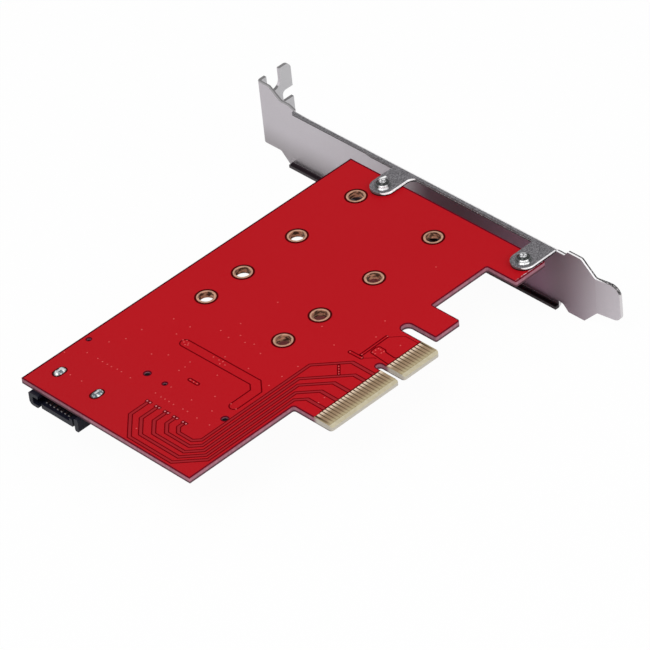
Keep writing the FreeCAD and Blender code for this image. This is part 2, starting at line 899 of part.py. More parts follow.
def capacitor_places():
    """Coupling capacitors above the tongue, and filters beside the sockets and the power parts."""
    places = []
    coupling_y = tongue_reach + coupling_rise
    for i in range(coupling_count):
        places.append((coupling_start_x + i * coupling_pitch, coupling_y, tiny_chip, False))
    filter_x = module_end_x - socket_rear - rear_tail - large_chip[1]
    for y in row_ys:
        for side in (-1, 1):
            places.append((filter_x, y + side * socket_length / 4, large_chip, False))
    between_y = (row_ys[0] + row_ys[1]) / 2
    for i in range(3):
        places.append((parts_column_x - 3 + i * 3, between_y - 1.2, large_chip, False))
    return places


def resistor_places():
    """Resistors between the socket rows and beside the lights."""
    between_y = (row_ys[0] + row_ys[1]) / 2
    first_x = module_end_x + slot_depth + 4
    places = [(first_x + i * 3, between_y, small_chip, True) for i in range(4)]
    light_resistor_y = tongue_reach + light_rise + light_resistor_gap
    for side in (-1, 1):
        places.append((parts_column_x + side * light_spacing / 2, light_resistor_y, small_chip, True))
    return places


def indicator_lights():
    """Two lights near the lower edge: base and lens of each."""
    bases = []
    lenses = []
    light_y = tongue_reach + light_rise
    length, width, _ = large_chip
    for side in (-1, 1):
        x = parts_column_x + side * light_spacing / 2
        x_range = (x - length / 2, x + length / 2)
        y_range = (light_y - width / 2, light_y + width / 2)
        bases.append(block(x_range, y_range, (board_low_z, below(light_base_height))))
        lens_x = (x_range[0] + light_lens_inset, x_range[1] - light_lens_inset)
        lens_z = (below(light_base_height), below(light_base_height + light_lens_height))
        lenses.append(block(lens_x, y_range, lens_z))
    return bases, lenses


def all_nodes():
    """Every piece under its node name."""
    nodes = {
        "circuit_board": [circuit_board()],
        "edge_contacts_solder_side": edge_contacts((0, contact_thickness)),
        "edge_contacts_component_side": edge_contacts((below(contact_thickness), board_low_z)),
        "standoff_hole_plating": standoff_rings(),
        "mounting_bracket": [mounting_bracket()],
        "bracket_screws": [bracket_screw(y) for y in screw_ys],
    }
    sockets = (("nvme", row_ys[0], nvme_key_offset), ("sata", row_ys[1], sata_key_offset))
    for name, row_y, key_offset in sockets:
        contacts = socket_contacts(row_y, key_offset)
        nodes[name + "_socket_housing"] = [socket_housing(row_y, key_offset, contacts)]
        nodes[name + "_socket_contacts"] = contacts
        nodes[name + "_socket_hold_downs"] = socket_hold_downs(row_y)
    nodes["drive_port_housing"] = [port_housing()]
    nodes["drive_port_contacts"] = port_contact_blades()
    nodes["drive_port_board_locks"] = port_locks()
    nodes["drive_port_solder_joints"] = port_solder_joints()
    body, leads = regulator()
    nodes["regulator_body"] = [body]
    nodes["regulator_leads"] = leads
    body, terminals = power_inductor()
    nodes["power_inductor_body"] = [body]
    nodes["power_inductor_terminals"] = terminals
    nodes["bulk_capacitor_bodies"], nodes["bulk_capacitor_terminals"] = bulk_capacitors()
    nodes["chip_capacitor_bodies"], nodes["chip_capacitor_ends"] = chips(capacitor_places())
    nodes["chip_resistor_bodies"], nodes["chip_resistor_ends"] = chips(resistor_places())
    nodes["indicator_light_bases"], nodes["indicator_light_lenses"] = indicator_lights()
    return nodes


def write_parts():
    os.makedirs("parts", exist_ok=True)
    for name, solids in all_nodes().items():
        shape = solids[0] if len(solids) == 1 else Part.makeCompound(solids)
        shape.exportStep("parts/" + name + ".step")
        print(name, len(shape.Solids), "valid" if shape.isValid() else "INVALID", round(shape.Volume, 2))


write_parts()
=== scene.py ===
import math

import bpy
import numpy as np
from mathutils import Matrix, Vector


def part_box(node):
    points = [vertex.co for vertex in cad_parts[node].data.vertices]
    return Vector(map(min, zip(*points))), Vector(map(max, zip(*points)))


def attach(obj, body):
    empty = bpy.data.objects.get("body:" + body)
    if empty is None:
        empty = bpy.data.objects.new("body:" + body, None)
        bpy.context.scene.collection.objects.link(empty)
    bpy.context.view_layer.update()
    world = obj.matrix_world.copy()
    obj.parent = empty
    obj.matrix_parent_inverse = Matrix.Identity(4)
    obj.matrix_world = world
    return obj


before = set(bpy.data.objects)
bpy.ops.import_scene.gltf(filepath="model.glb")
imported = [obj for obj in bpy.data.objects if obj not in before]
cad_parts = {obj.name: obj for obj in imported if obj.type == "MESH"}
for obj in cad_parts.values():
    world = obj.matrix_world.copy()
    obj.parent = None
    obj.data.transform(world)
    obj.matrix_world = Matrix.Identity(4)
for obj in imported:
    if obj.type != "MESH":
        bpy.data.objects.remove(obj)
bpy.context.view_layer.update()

# Sizes of the card that the added pieces and the finishes follow, in millimetres
MM = 0.001
BOARD_LOW = -1.6
MASK_END_Y = 5.85
TONGUE_END_X = 12.8
FOOT_START_X = 42.8
FOOT_TOP_Y = 5.0
FAR_EDGE_Y = 68.3
ROW_YS = (31.25, 57.15)
STATION_XS = (-7.4, 4.6, 22.6, 42.6)
PORT_WALL_X = -50.0
PORT_TIP_X = -55.45
PORT_CONTACT_Y = 52.705
PORT_PITCH = 1.27
LOCK_X = -48.45
LOCK_YS = (63.55, 50.75)
SCREW_X = 49.0
SCREW_YS = (54.3, 7.8)
PLATE_X = 56.8
SHEET = 0.86
FLANGE_Y = 103.5
TAB_FOLD_X = 55.3
TAB_GAP_YS = (11.0, 51.2)
LOW_LIP_Z = -15.2
COLLAR_RADIUS = 2.4
ROOT = "root"

# Painted highlights: on the solder joints, on the screw collars and behind the upper screw
JOINT_HIGHLIGHT_HALVES = (1.62, 0.86)
JOINT_HIGHLIGHT_SHIFT = 0.2
COLLAR_GLINT_LINE = (-0.656, -0.755, 0.0)
GLINT_PLACE = (51.25, 56.4, 0.86)
GLINT_WAYS = (((0.963, -0.268, 0.0), 0.95, 0.7), ((0.268, 0.963, 0.0), 0.42, 0.25))


# Colours and node helpers
def linear(red, green, blue):
    """Linear colour of an sRGB colour given as 0 to 255."""
    c = np.array([red, green, blue]) / 255.0
    lit = np.where(c <= 0.04045, c / 12.92, ((c + 0.055) / 1.055) ** 2.4)
    return (float(lit[0]), float(lit[1]), float(lit[2]), 1.0)


def feed(node, inputs):
    """Links or sets a node's inputs. A number may also be a ramp (value, low, high), and a colour
    of three numbers is an sRGB one from 0 to 255."""
    for key, value in inputs.items():
        socket = node.inputs[key]
        if socket.type == "VALUE" and isinstance(value, tuple):
            value = ramp(*value)
        if isinstance(value, bpy.types.NodeSocket):
            node.id_data.links.new(value, socket)
        elif socket.type == "RGBA" and len(value) == 3:
            socket.default_value = linear(*value)
        else:
            socket.default_value = value


def add_node(tree, kind, inputs=None, **settings):
    """A shader node with its settings and inputs."""
    node = tree.nodes.new("ShaderNode" + kind)
    for key, value in settings.items():
        setattr(node, key, value)
    feed(node, inputs or {})
    return node


def add_after(kind, inputs, **settings):
    """A shader node in the tree of the sockets that feed it."""
    sources = [value[0] if isinstance(value, tuple) else value for value in inputs.values()]
    tree = next(source.id_data for source in sources if isinstance(source, bpy.types.NodeSocket))
    return add_node(tree, kind, inputs, **settings)


def maths(operation, first, second=0.5):
    """One Math node's output."""
    return add_after("Math", {0: first, 1: second}, operation=operation).outputs[0]


def product(first, *others):
    """Values multiplied in turn."""
    for other in others:
        first = maths("MULTIPLY", first, other)
    return first


def minus(first, second):
    """First value less the second."""
    return maths("SUBTRACT", first, second)


def unsigned(value):
    """A value without its sign."""
    return maths("ABSOLUTE", value, 0.0)


def above(value, limit):
    """1 where a value is over a limit, else 0."""
    return maths("GREATER_THAN", value, limit)


def below(value, limit):
    """1 where a value is under a limit, else 0."""
    return maths("LESS_THAN", value, limit)


def vector_maths(operation, first, second=(0.0, 0.0, 0.0)):
    """One Vector Math node's output: a number for a length or a dot product, else a vector."""
    node = add_after("VectorMath", {0: first, 1: second}, operation=operation)
    return node.outputs["Value" if operation in ("LENGTH", "DOT_PRODUCT") else "Vector"]


def blend(amount, first, second, mode="MIX"):
    """Colour between two colours by an amount."""
    inputs = {0: amount, 6: first, 7: second}
    return add_after("Mix", inputs, data_type="RGBA", blend_type=mode).outputs[2]


def layered(colour, *layers):
    """A colour with others laid over it in turn, each given with its amount."""
    for amount, over in layers:
        colour = blend(amount, colour, over)
    return colour


def ramp(value, low, high):
    """0 at low, 1 at high and smooth between."""
    inputs = {"Value": value, "From Min": low, "From Max": high}
    return add_after("MapRange", inputs, interpolation_type="SMOOTHSTEP").outputs[0]


def parts(vector):
    """X, Y and Z of a vector."""
    return tuple(add_after("SeparateXYZ", {0: vector}).outputs)


def place_mm(tree):
    """Place in the piece's own coordinates, in millimetres."""
    return vector_maths("MULTIPLY", add_node(tree, "TexCoord").outputs["Object"], (1 / MM,) * 3)


def normal_parts(tree):
    """X, Y and Z of the surface's normal."""
    return parts(add_node(tree, "NewGeometry").outputs["Normal"])


def from_nearer(value, places):
    """Signed distance from the nearer of two places, of which the first is the higher."""
    upper = above(value, sum(places) / 2)
    return minus(minus(value, places[1]), product(upper, places[0] - places[1]))


def arm_and_length(x, y):
    """Flat vector of two distances, and its length."""
    arm = add_after("CombineXYZ", {"X": x, "Y": y}).outputs[0]
    return arm, vector_maths("LENGTH", arm)


# Shader groups that several finishes share
FLOAT, COLOUR, VECTOR = "NodeSocketFloat", "NodeSocketColor", "NodeSocketVector"


def new_group(name, inputs, outputs):
    """Empty shader group with named sockets: inputs holds (name, kind, default)."""
    group = bpy.data.node_groups.new(name, "ShaderNodeTree")
    for label, kind, default in inputs:
        socket = group.interface.new_socket(label, in_out="INPUT", socket_type=kind)
        if default is not None:
            socket.default_value = default
    for label, kind in outputs:
        group.interface.new_socket(label, in_out="OUTPUT", socket_type=kind)
    return group, group.nodes.new("NodeGroupInput").outputs, group.nodes.new("NodeGroupOutput")


def use_group(tree, group, inputs=None):
    """Puts a shared group in a tree with its own values; gives its outputs."""
    return add_node(tree, "Group", inputs, node_tree=group).outputs


def grain_group():
    """Noise stretched along the axes: a fine grain and a broad cloud, both from 0 to 1."""
    group, given, out = new_group(
        "grain",
        [("Fine Scale", VECTOR, (900.0, 900.0, 900.0)), ("Broad Scale", FLOAT, 60.0)],
        [("Fine", FLOAT), ("Broad", FLOAT)],
    )
    place = add_node(group, "TexCoord").outputs["Object"]
    stretched = vector_maths("MULTIPLY", place, given["Fine Scale"])
    fine = add_node(group, "TexNoise", {"Vector": stretched, "Scale": 1.0, "Detail": 3.0})
    broad = add_node(group, "TexNoise",
                     {"Vector": place, "Scale": given["Broad Scale"], "Detail": 2.0})
    feed(out, {"Fine": fine.outputs[0], "Broad": broad.outputs[0]})
    return group


def tone_group():
    """Base colour moved towards a dark tone by the grain and the cloud, and roughness by the cloud."""
    group, given, out = new_group(
        "tone",
        [("Fine", FLOAT, 0.5), ("Broad", FLOAT, 0.5), ("Colour", COLOUR, None), ("Dark", COLOUR, None),
         ("Fine Amount", FLOAT, 0.2), ("Broad Amount", FLOAT, 0.2),
         ("Roughness", FLOAT, 0.5), ("Spread", FLOAT, 0.1)],
        [("Colour", COLOUR), ("Roughness", FLOAT)],
    )
    fine = product(given["Fine"], given["Fine Amount"])
    broad = product(given["Broad"], given["Broad Amount"])
    colour = blend(maths("ADD", fine, broad), given["Colour"], given["Dark"])
    shift = product(minus(given["Broad"], 0.5), given["Spread"])
    feed(out, {"Colour": colour, "Roughness": maths("ADD", given["Roughness"], shift)})
    return group


def screw_group():
    """Place about the nearer screw: distance from its axis, and 1 in line with the collar's glints
    to either side of it, falling to 0 square to them."""
    group, _, out = new_group("screw_place", [], [("Radius", FLOAT), ("Facing", FLOAT)])
    x, y, _ = parts(place_mm(group))
    arm, length = arm_and_length(minus(x, SCREW_X), from_nearer(y, SCREW_YS))
    facing = vector_maths("DOT_PRODUCT", vector_maths("NORMALIZE", arm), COLLAR_GLINT_LINE)
    feed(out, {"Radius": length, "Facing": unsigned(facing)})
    return group


GRAIN = grain_group()
TONE = tone_group()
SCREW_PLACE = screw_group()


# Finishes: each is one material, with its grain, cloudiness and painted zones
RELIEF_DEPTH = 0.00002
COAT_ROUGHNESS = 0.1


def make_finish(name, colour, dark, rough, paint=None, fine_scale=(3000.0,) * 3, broad_scale=150.0,
                fine=0.35, broad=0.35, spread=0.12, bump=0.25, metallic=0.0, specular=0.5, coat=0.0):
    """Material of one substance with its grain, cloudiness and slight relief. Its painted zones come
    from paint, which takes the tree, the fine grain, the toned colour and the roughness, and gives
    the shader's inputs."""
    material = bpy.data.materials.new(name)
    material.use_nodes = True
    tree = material.node_tree
    shader = tree.nodes["Principled BSDF"]
    grain = use_group(tree, GRAIN, {"Fine Scale": fine_scale, "Broad Scale": broad_scale})
    tone = use_group(tree, TONE, {
        "Fine": grain["Fine"], "Broad": grain["Broad"], "Colour": colour, "Dark": dark,
        "Fine Amount": fine, "Broad Amount": broad, "Roughness": rough, "Spread": spread,
    })
    relief = add_node(tree, "Bump",
                      {"Strength": bump, "Distance": RELIEF_DEPTH, "Height": grain["Fine"]})
    feed(shader, {
        "Metallic": metallic, "Specular IOR Level": specular, "Coat Weight": coat,
        "Coat Roughness": COAT_ROUGHNESS, "Base Color": tone["Colour"], "Roughness": tone["Roughness"],
        "Normal": relief.outputs[0],
    })
    if paint:
        feed(shader, paint(tree, grain["Fine"], tone["Colour"], tone["Roughness"]))
    return material


def tongue_mask(x, y):
    """1 on the bare finger tongue and 0 where the red mask lies."""
    return product((y, MASK_END_Y, MASK_END_Y - 0.05), below(x, TONGUE_END_X))


def board_wall(x, y, z, streaks):
    """Cut edge of the board: streaked laminate, darker low down, darker by the port as painted shade, red
    at its top rim and pale round the bare tongue."""
    level = minus(z, BOARD_LOW / 2)
    # Painted shade on the wall by the drive port
    port_shade = product(below(x, PORT_WALL_X), (y, 44.0, 50.0))
    bare = product(below(x, TONGUE_END_X), (y, 6.2, 4.6))
    wall = layered((198, 138, 152), (streaks, (124, 84, 96)),
                   ((level, -0.1, -0.45), (96, 66, 74)),
                   ((level, 0.5, 0.6), (126, 22, 42)))
    wall = blend(port_shade, wall, (0.74, 0.74, 0.74, 1.0), mode="MULTIPLY")
    return layered(wall, (bare, (196, 190, 178)),
                   (product(bare, (level, -0.4, -0.6)), (142, 138, 136)))


def paint_board(tree, fine, tone, rough):
    """Red mask on both faces, bare laminate on the cut edge and the tongue, and a frayed foot."""
    streaks = use_group(tree, GRAIN, {"Fine Scale": (900.0, 900.0, 120.0), "Broad Scale": 900.0})["Fine"]
    x, y, z = parts(place_mm(tree))
    # Painted shade: the mask's red turns a little darker and duller towards the far left
    mask = blend(product((x, -18.0, -60.0), 0.8), tone, (172, 20, 29))
    tip = blend(streaks, (206, 198, 172), (166, 156, 130))
    # Painted shade and painted reflection of the gold: the bare laminate between the fingers is dark brown
    # near the mask and lightens towards the tip
    tongue = layered((60, 46, 34), ((y, 5.4, 1.8), (122, 104, 78)),
                     ((y, 2.4, 1.1), (168, 152, 122)),
                     ((y, 1.1, 0.9), tip))
    foot = product((y, 4.78, 4.68), above(x, FOOT_START_X))
    frayed = blend((streaks, 0.42, 0.56), (150, 30, 40), (222, 186, 196))
    faces = layered(mask, (tongue_mask(x, y), tongue), (foot, frayed))
    flat = ramp(unsigned(normal_parts(tree)[2]), 0.55, 0.65)
    wall = board_wall(x, y, z, streaks)
    return {"Base Color": blend(flat, wall, faces)}


def bracket_edges(x, y, z, normal, fine, fold_grain_shade, on_fold):
    """Cut edges of the bracket: on the plate a speckled burr, with painted highlights on its inner side and
    on the edge faces that look sideways; on the lip between the tabs painted shade low down and pale flecks
    of painted highlight; on the tabs a near side painted bright as a highlight, with a painted shadow at
    its foot."""
    speckle = ramp(fine, 0.54, 0.62)
    near_end = ramp(y, 92.0, 88.0)
    burr = blend(speckle, (34, 32, 34), (196, 192, 194))
    burr = blend(near_end, (112, 110, 112), burr)
    # Painted highlight: edge faces that look sideways are lighter
    burr = blend((normal[2], 0.15, 0.35), (214, 210, 212), burr)
    # Painted highlight on the inner side of the plate's edges, fading towards the far end
    bright = blend(near_end, (150, 148, 150), (246, 244, 246))
    outer = ramp(x, PLATE_X + 0.38, PLATE_X + 0.5)
    sheared_and_highlight = blend(outer, bright, burr)
    in_gap = product(above(y, TAB_GAP_YS[0]), below(y, TAB_GAP_YS[1]))
    # Painted highlight: pale flecks along the lip between the tabs
    fleck_highlight = product(speckle, in_gap, (z, 0.46, 0.4), above(z, 0.2))
    # Painted shade: the lower part of the lip's edge is dark
    lip = blend((z, 0.18, 0.26), (44, 36, 40), fold_grain_shade)
    lip = blend(fleck_highlight, lip, (232, 230, 232))
    # Painted highlight on the tabs' near side, and a painted shadow at their foot
    cut = blend((normal[1], -0.5, -0.8), (104, 102, 104), (252, 250, 250))
    rim = blend((z, 0.36, 0.44), (26, 20, 20), cut)
    fold_edge = blend(below(x, TAB_FOLD_X), lip, rim)
    return blend(on_fold, sheared_and_highlight, fold_edge)


def bracket_sheet(y, z, normal, tone, flange_face):
    """Plate and flange of the bracket: painted shade and a painted reflection of the shaded floor darken
    the inner face by the board's edge and over the far lip, where the board and the lip shade it, and the
    flange faces carry a darker painted shade."""
    inner = below(normal[0], 0.0)
    # Painted shade and reflection: darker tones on the inner face by the board and over the far lip, and on
    # the flange
    board_shade = product((y, -14.5, 5.0), (y, 56.8, 46.2), inner)
    lip_shade = product((z, -6.5, -15.0), (y, 58.0, 64.0), inner)
    strip_shade = blend((y, 40.0, 13.0), (122, 95, 106), (166, 134, 154))
    strip_shade = blend((y, 4.0, 12.0), (144, 126, 136), strip_shade)
    return layered(tone, (lip_shade, (172, 167, 170)), (board_shade, strip_shade), (flange_face, (201, 200, 202)))


def far_glint(place, z):
    """1 on the small oblong of painted highlight behind the upper screw: near enough to its middle both
    ways.
    """
    from_middle = vector_maths("SUBTRACT", place, GLINT_PLACE)
    near = []
    for way, outer, inner in GLINT_WAYS:
        away = unsigned(vector_maths("DOT_PRODUCT", from_middle, way))
        near.append(ramp(away, outer, inner))
    return product(*near, above(z, SHEET - 0.06))


def paint_bracket(tree, fine, tone, rough):
    """Plated sheet with a darker grain on its folds as painted shade, burrs on its cut edges, a painted
    dark shade on its low lip, and shining collars and a spot behind the upper screw as painted highlights.
    """
    place = place_mm(tree)
    x, y, z = parts(place)
    normal = normal_parts(tree)
    squarely = [ramp(unsigned(part), 0.55, 0.75) for part in normal]
    on_fold = below(x, PLATE_X - 0.02)
    on_flange = product(above(x, PLATE_X + SHEET + 0.1), above(y, FLANGE_Y))
    fold_face = product(squarely[2], on_fold)
    sheet_face = product(squarely[0], minus(1.0, on_fold))
    flange_face = product(squarely[1], on_flange)
    face = maths("MAXIMUM", maths("MAXIMUM", fold_face, sheet_face), flange_face)
    # Painted shade: the fold faces take a darker grain than the plate
    fold_grain_shade = blend((fine, 0.3, 0.7), (138, 136, 140), (68, 66, 69))
    faces = blend(fold_face, bracket_sheet(y, z, normal, tone, flange_face), fold_grain_shade)
    edges = bracket_edges(x, y, z, normal, fine, fold_grain_shade, on_fold)
    # Painted shade: the low lip under the board is dark
    low_lip_shade = product(below(z, LOW_LIP_Z), on_fold)
    screw = use_group(tree, SCREW_PLACE)
    collar = product(above(z, SHEET + 0.03), below(screw["Radius"], COLLAR_RADIUS))
    # Painted highlights: flecked glints on the collars along a fixed line, and a white spot behind the
    # upper screw
    flecked = blend((fine, 0.4, 0.56), (176, 178, 180), (255, 255, 255))
    collar_highlight = blend((screw["Facing"], 0.68, 0.95), (64, 66, 68), flecked)
    glint = far_glint(place, z)
    colour = layered(edges, (face, faces), (low_lip_shade, (44, 34, 40)), (collar, collar_highlight),
                     (glint, (250, 250, 250)))
    plain = product(face, minus(1.0, maths("MAXIMUM", collar, glint)))
    return {
        "Base Color": colour,
        "Metallic": maths("ADD", product(plain, 0.85), 0.15),
        "Roughness": maths("ADD", product(plain, 0.18), product(rough, 0.6)),
    }


def paint_screws(tree, fine, tone, rough):
    """Bright plating; the end is mottled as painted reflection, with a dark thread edge and a small dimple
    in the end made darker, both painted shade.
    """
    z = parts(place_mm(tree))[2]
    radius = use_group(tree, SCREW_PLACE)["Radius"]
    # Painted reflection and shade on the screw end: mottling, a dark dimple and a dark thread edge
    tip = layered((104, 104, 106), ((fine, 0.44, 0.56), (236, 236, 238)),
                  ((radius, 0.3, 0.18), (80, 80, 82)),
                  ((radius, 0.78, 0.94), (30, 34, 34)))
    return {"Base Color": blend(above(z, SHEET), tone, tip)}


def station_distance(tree):
    """Distance from the nearest stand-off axis: both rows are folded onto one, and the least
    distance along X of the four stations is taken."""
    x, y, _ = parts(place_mm(tree))
    folded = unsigned(minus(y, sum(ROW_YS) / 2))
    across = minus(folded, (ROW_YS[1] - ROW_YS[0]) / 2)
    along = 1 / MM
    for station in STATION_XS:
        along = maths("MINIMUM", unsigned(minus(x, station)), along)
    return arm_and_length(along, across)[1]


def paint_rings(tree, fine, tone, rough):
    """Tan lands, darkening towards the hole as painted shade, and darker, mottled hole walls, their
    darkness painted shade.
    """
    mottled = use_group(tree, GRAIN, {"Fine Scale": (700.0, 700.0, 1500.0), "Broad Scale": 300.0})["Fine"]
    # Painted shade: the hole walls take a darker mottled tone
    shaded_bore = blend((mottled, 0.42, 0.6), (78, 50, 34), (212, 156, 126))
    radius = station_distance(tree)
    # Painted shade: the land darkens towards the hole
    top = blend(product((radius, 2.18, 1.92), 0.65), tone, shaded_bore)
    land = ramp(unsigned(normal_parts(tree)[2]), 0.5, 0.7)
    return {"Base Color": blend(land, shaded_bore, top)}


def paint_port_contacts(tree, fine, tone, rough):
    """Pale in the middle of each tip, with painted shade at its sides and in the port's depth."""
    x, y, _ = parts(place_mm(tree))
    depth_shade = ramp(x, PORT_TIP_X, PORT_TIP_X + 0.2)
    pitches = maths("DIVIDE", minus(y, PORT_CONTACT_Y), PORT_PITCH)
    from_centre = unsigned(minus(maths("FRACT", pitches, 0.0), 0.5))
    # Painted shade at the sides of each tip and far inside the port
    dark = maths("MAXIMUM", depth_shade, (from_centre, 0.1, 0.22))
    return {"Base Color": blend(dark, tone, (36, 31, 33))}


def paint_solder(tree, fine, tone, rough):
    """Bright, with dark patches of painted reflection where it mirrors the room; each joint of the drive
    port carries a painted highlight over an ellipse, most at its outer end, and a painted dark shade round
    it."""
    x, y, z = parts(place_mm(tree))
    joint = above(z, 0.0)
    across = from_nearer(y, [place - JOINT_HIGHLIGHT_SHIFT for place in LOCK_YS])
    across = maths("DIVIDE", across, JOINT_HIGHLIGHT_HALVES[1])
    along = maths("DIVIDE", minus(x, LOCK_X), JOINT_HIGHLIGHT_HALVES[0])
    # Painted reflection: dark patches, fewer towards each joint's outer end
    reflection_patch = ramp(minus(fine, product(along, 0.05, joint)), 0.47, 0.56)
    painted_reflections = blend(reflection_patch, (86, 98, 104), tone)
    reach = arm_and_length(along, across)[1]
    # Painted shade: a dark band round each joint's highlight
    rim = product((reach, 0.88, 1.08), joint)
    return {
        "Base Color": blend(rim, painted_reflections, (30, 14, 18)),
        "Metallic": product(minus(1.0, rim), 0.55),
        "Roughness": maths("MAXIMUM", rough, product(rim, 0.7)),
    }


def paint_fingers(tree, fine, tone, rough):
    """Gold fingers: bright at the mask as a painted highlight, browner towards the tip."""
    y = parts(place_mm(tree))[1]
    # Painted highlight: the fingers are paler near the mask
    colour = layered(tone, ((y, 2.8, 1.2), (176, 162, 128)),
                     ((y, 4.0, 5.6), (226, 204, 180)))
    return {"Base Color": colour}


def paint_edge_lines(tree, fine, tone, rough):
    """Line where the mask stops short of an edge: dark, darkest along the far edge as painted shade, and
    bare laminate on the tongue."""
    x, y, _ = parts(place_mm(tree))
    colour = layered(tone, ((y, FAR_EDGE_Y, FAR_EDGE_Y + 0.1), (62, 2, 16)),
                     (tongue_mask(x, y), (160, 144, 114)))
    return {"Base Color": colour}


# Painted finishes: both tones, roughness, paint, fine and broad scale, their amounts, spread, relief
FINISHES = {
    "board": make_finish("red_mask_board", (181, 16, 27), (175, 14, 24), 0.5, paint_board, (1500.0,) * 3,
                         25.0, 0.25, 0.5, 0.1, 0.03, specular=0.045),
    "bracket": make_finish("plated_sheet", (214, 209, 214), (166, 160, 166), 0.34, paint_bracket,
                           (4200.0,) * 3, 30.0, 0.2, 0.2, 0.12, 0.3, metallic=1.0),
    "fingers": make_finish("gold_fingers", (176, 150, 122), (118, 92, 64), 0.36, paint_fingers,
                           (400.0, 5000.0, 400.0), 200.0, 0.4, 0.5, 0.15, 0.15, metallic=0.85),
    "screw_nickel": make_finish("screw_nickel", (228, 228, 230), (150, 150, 155), 0.25, paint_screws,
                                (2600.0,) * 3, 150.0, 0.2, 0.2, 0.1, 0.1, metallic=0.45),
    "solder": make_finish("solder", (236, 240, 238), (130, 136, 136), 0.22, paint_solder,
                          (1300.0, 500.0, 500.0), 500.0, 0.3, 0.3, 0.1, 0.2, metallic=0.55),
    "ring_gold": make_finish("ring_gold", (230, 178, 150), (112, 78, 54), 0.36, paint_rings,
                             (900.0,) * 3, 500.0, 0.75, 0.15, 0.1, 0.25, metallic=0.55),
    "port_contact": make_finish("port_contact", (178, 176, 176), (130, 126, 126), 0.35,
                                paint_port_contacts, (2600.0,) * 3, 150.0, 0.2, 0.2, 0.1, 0.1,
                                metallic=0.3),
    "edge_line": make_finish("edge_line", (104, 10, 30), (84, 8, 24), 0.5, paint_edge_lines, specular=0.0),
}

# Plain finishes: light tone, dark tone, roughness and what differs from the usual
PLAIN_FINISHES = {
    "contact_gold": ((226, 190, 120), (180, 140, 80), 0.28, {"metallic": 1.0}),
    "tinned": ((215, 216, 218), (150, 152, 156), 0.3, {"metallic": 1.0}),
    "port_plastic": ((20, 23, 38), (10, 12, 20), 0.35, {"specular": 0.24}),
    "socket_plastic": ((19, 19, 22), (11, 11, 13), 0.5, {"specular": 0.06}),
    "chip_epoxy": ((38, 38, 40), (24, 24, 26), 0.6, {"bump": 0.5, "specular": 0.25}),
    "coil_block": ((92, 92, 94), (58, 58, 60), 0.7, {"bump": 0.8}),
    "tantalum": ((206, 152, 52), (176, 120, 34), 0.5, {}),
    "ceramic": ((176, 144, 112), (140, 108, 80), 0.55, {}),
    "resistor_glaze": ((30, 30, 33), (18, 18, 20), 0.25, {}),
    "light_base": ((228, 226, 214), (200, 196, 180), 0.5, {}),
    "light_lens": ((216, 226, 214), (190, 206, 190), 0.12, {"coat": 0.5}),
    "gap_line": ((112, 4, 12), (92, 2, 8), 0.5, {"specular": 0.0}),
    "pair_copper": ((162, 36, 43), (146, 25, 32), 0.5, {"specular": 0.02}),
    "via_mask": ((216, 84, 82), (192, 40, 44), 0.4, {"specular": 0.2}),
    "ring_shadow": ((84, 6, 10), (52, 10, 8), 0.5, {"specular": 0.0}),
    "pad_red": ((116, 8, 18), (94, 6, 12), 0.5, {"specular": 0.0}),
    "pad_light": ((214, 124, 130), (180, 74, 82), 0.4, {"specular": 0.1}),
    "mask_red": ((188, 30, 38), (178, 27, 34), 0.45, {"specular": 0.12}),
    # Painted highlight: the tabs' burr is near white
    "burr_highlight": ((250, 249, 250), (226, 224, 226), 0.35, {"metallic": 0.5}),
    "ink_white": ((232, 230, 228), (210, 206, 204), 0.6, {"specular": 0.2}),
}
for finish_name, (light, dark, rough, others) in PLAIN_FINISHES.items():
    FINISHES[finish_name] = make_finish(finish_name, light, dark, rough, **others)

# Pieces of the frame by finish
FINISH_NODES = {
    "board": ("circuit_board",),
    "fingers": ("edge_contacts_solder_side", "edge_contacts_component_side"),
    "ring_gold": ("standoff_hole_plating",),
    "bracket": ("mounting_bracket",),
    "screw_nickel": ("bracket_screws",),
    "socket_plastic": ("nvme_socket_housing", "sata_socket_housing"),
    "contact_gold": ("nvme_socket_contacts", "sata_socket_contacts"),
    "tinned": ("nvme_socket_hold_downs", "sata_socket_hold_downs", "drive_port_board_locks",
               "regulator_leads", "power_inductor_terminals", "bulk_capacitor_terminals",
               "chip_capacitor_ends", "chip_resistor_ends"),
    "port_plastic": ("drive_port_housing",),
    "port_contact": ("drive_port_contacts",),
    "solder": ("drive_port_solder_joints",),
    "chip_epoxy": ("regulator_body",),
    "coil_block": ("power_inductor_body",),
    "tantalum": ("bulk_capacitor_bodies",),
    "ceramic": ("chip_capacitor_bodies",),
    "resistor_glaze": ("chip_resistor_bodies",),
    "light_base": ("indicator_light_bases",),
    "light_lens": ("indicator_light_lenses",),
}
for finish_name, node_names in FINISH_NODES.items():
    for node_name in node_names:
        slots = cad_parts[node_name].data.materials
        slots.clear()
        slots.append(FINISHES[finish_name])


# Surfaces worked out as whole arrays
def join_surfaces(surfaces):
    """One (points, faces) from several, with the faces' numbers moved on."""
    points = []
    faces = []
    count = 0
    for some_points, some_faces in surfaces:
        points.append(some_points)
        faces += [tuple(int(i) + count for i in face) for face in some_faces]
        count += len(some_points)
    return np.concatenate(points), faces


def new_object(name, data):
    """Object in the scene that shows a mesh, a camera or a lamp."""
    made = bpy.data.objects.new(name, data)
    bpy.context.scene.collection.objects.link(made)
    return made


def add_piece(name, surfaces, finish, smooth=False):
    """Puts surfaces, in millimetres, into one mesh that rides on the card."""
    points, faces = join_surfaces(surfaces)
    mesh = bpy.data.meshes.new(name)
    mesh.from_pydata((points * MM).tolist(), [], faces)
    mesh.polygons.foreach_set("use_smooth", [smooth] * len(mesh.polygons))
    mesh.materials.append(FINISHES[finish])
    piece = new_object(name, mesh)
    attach(piece, ROOT)


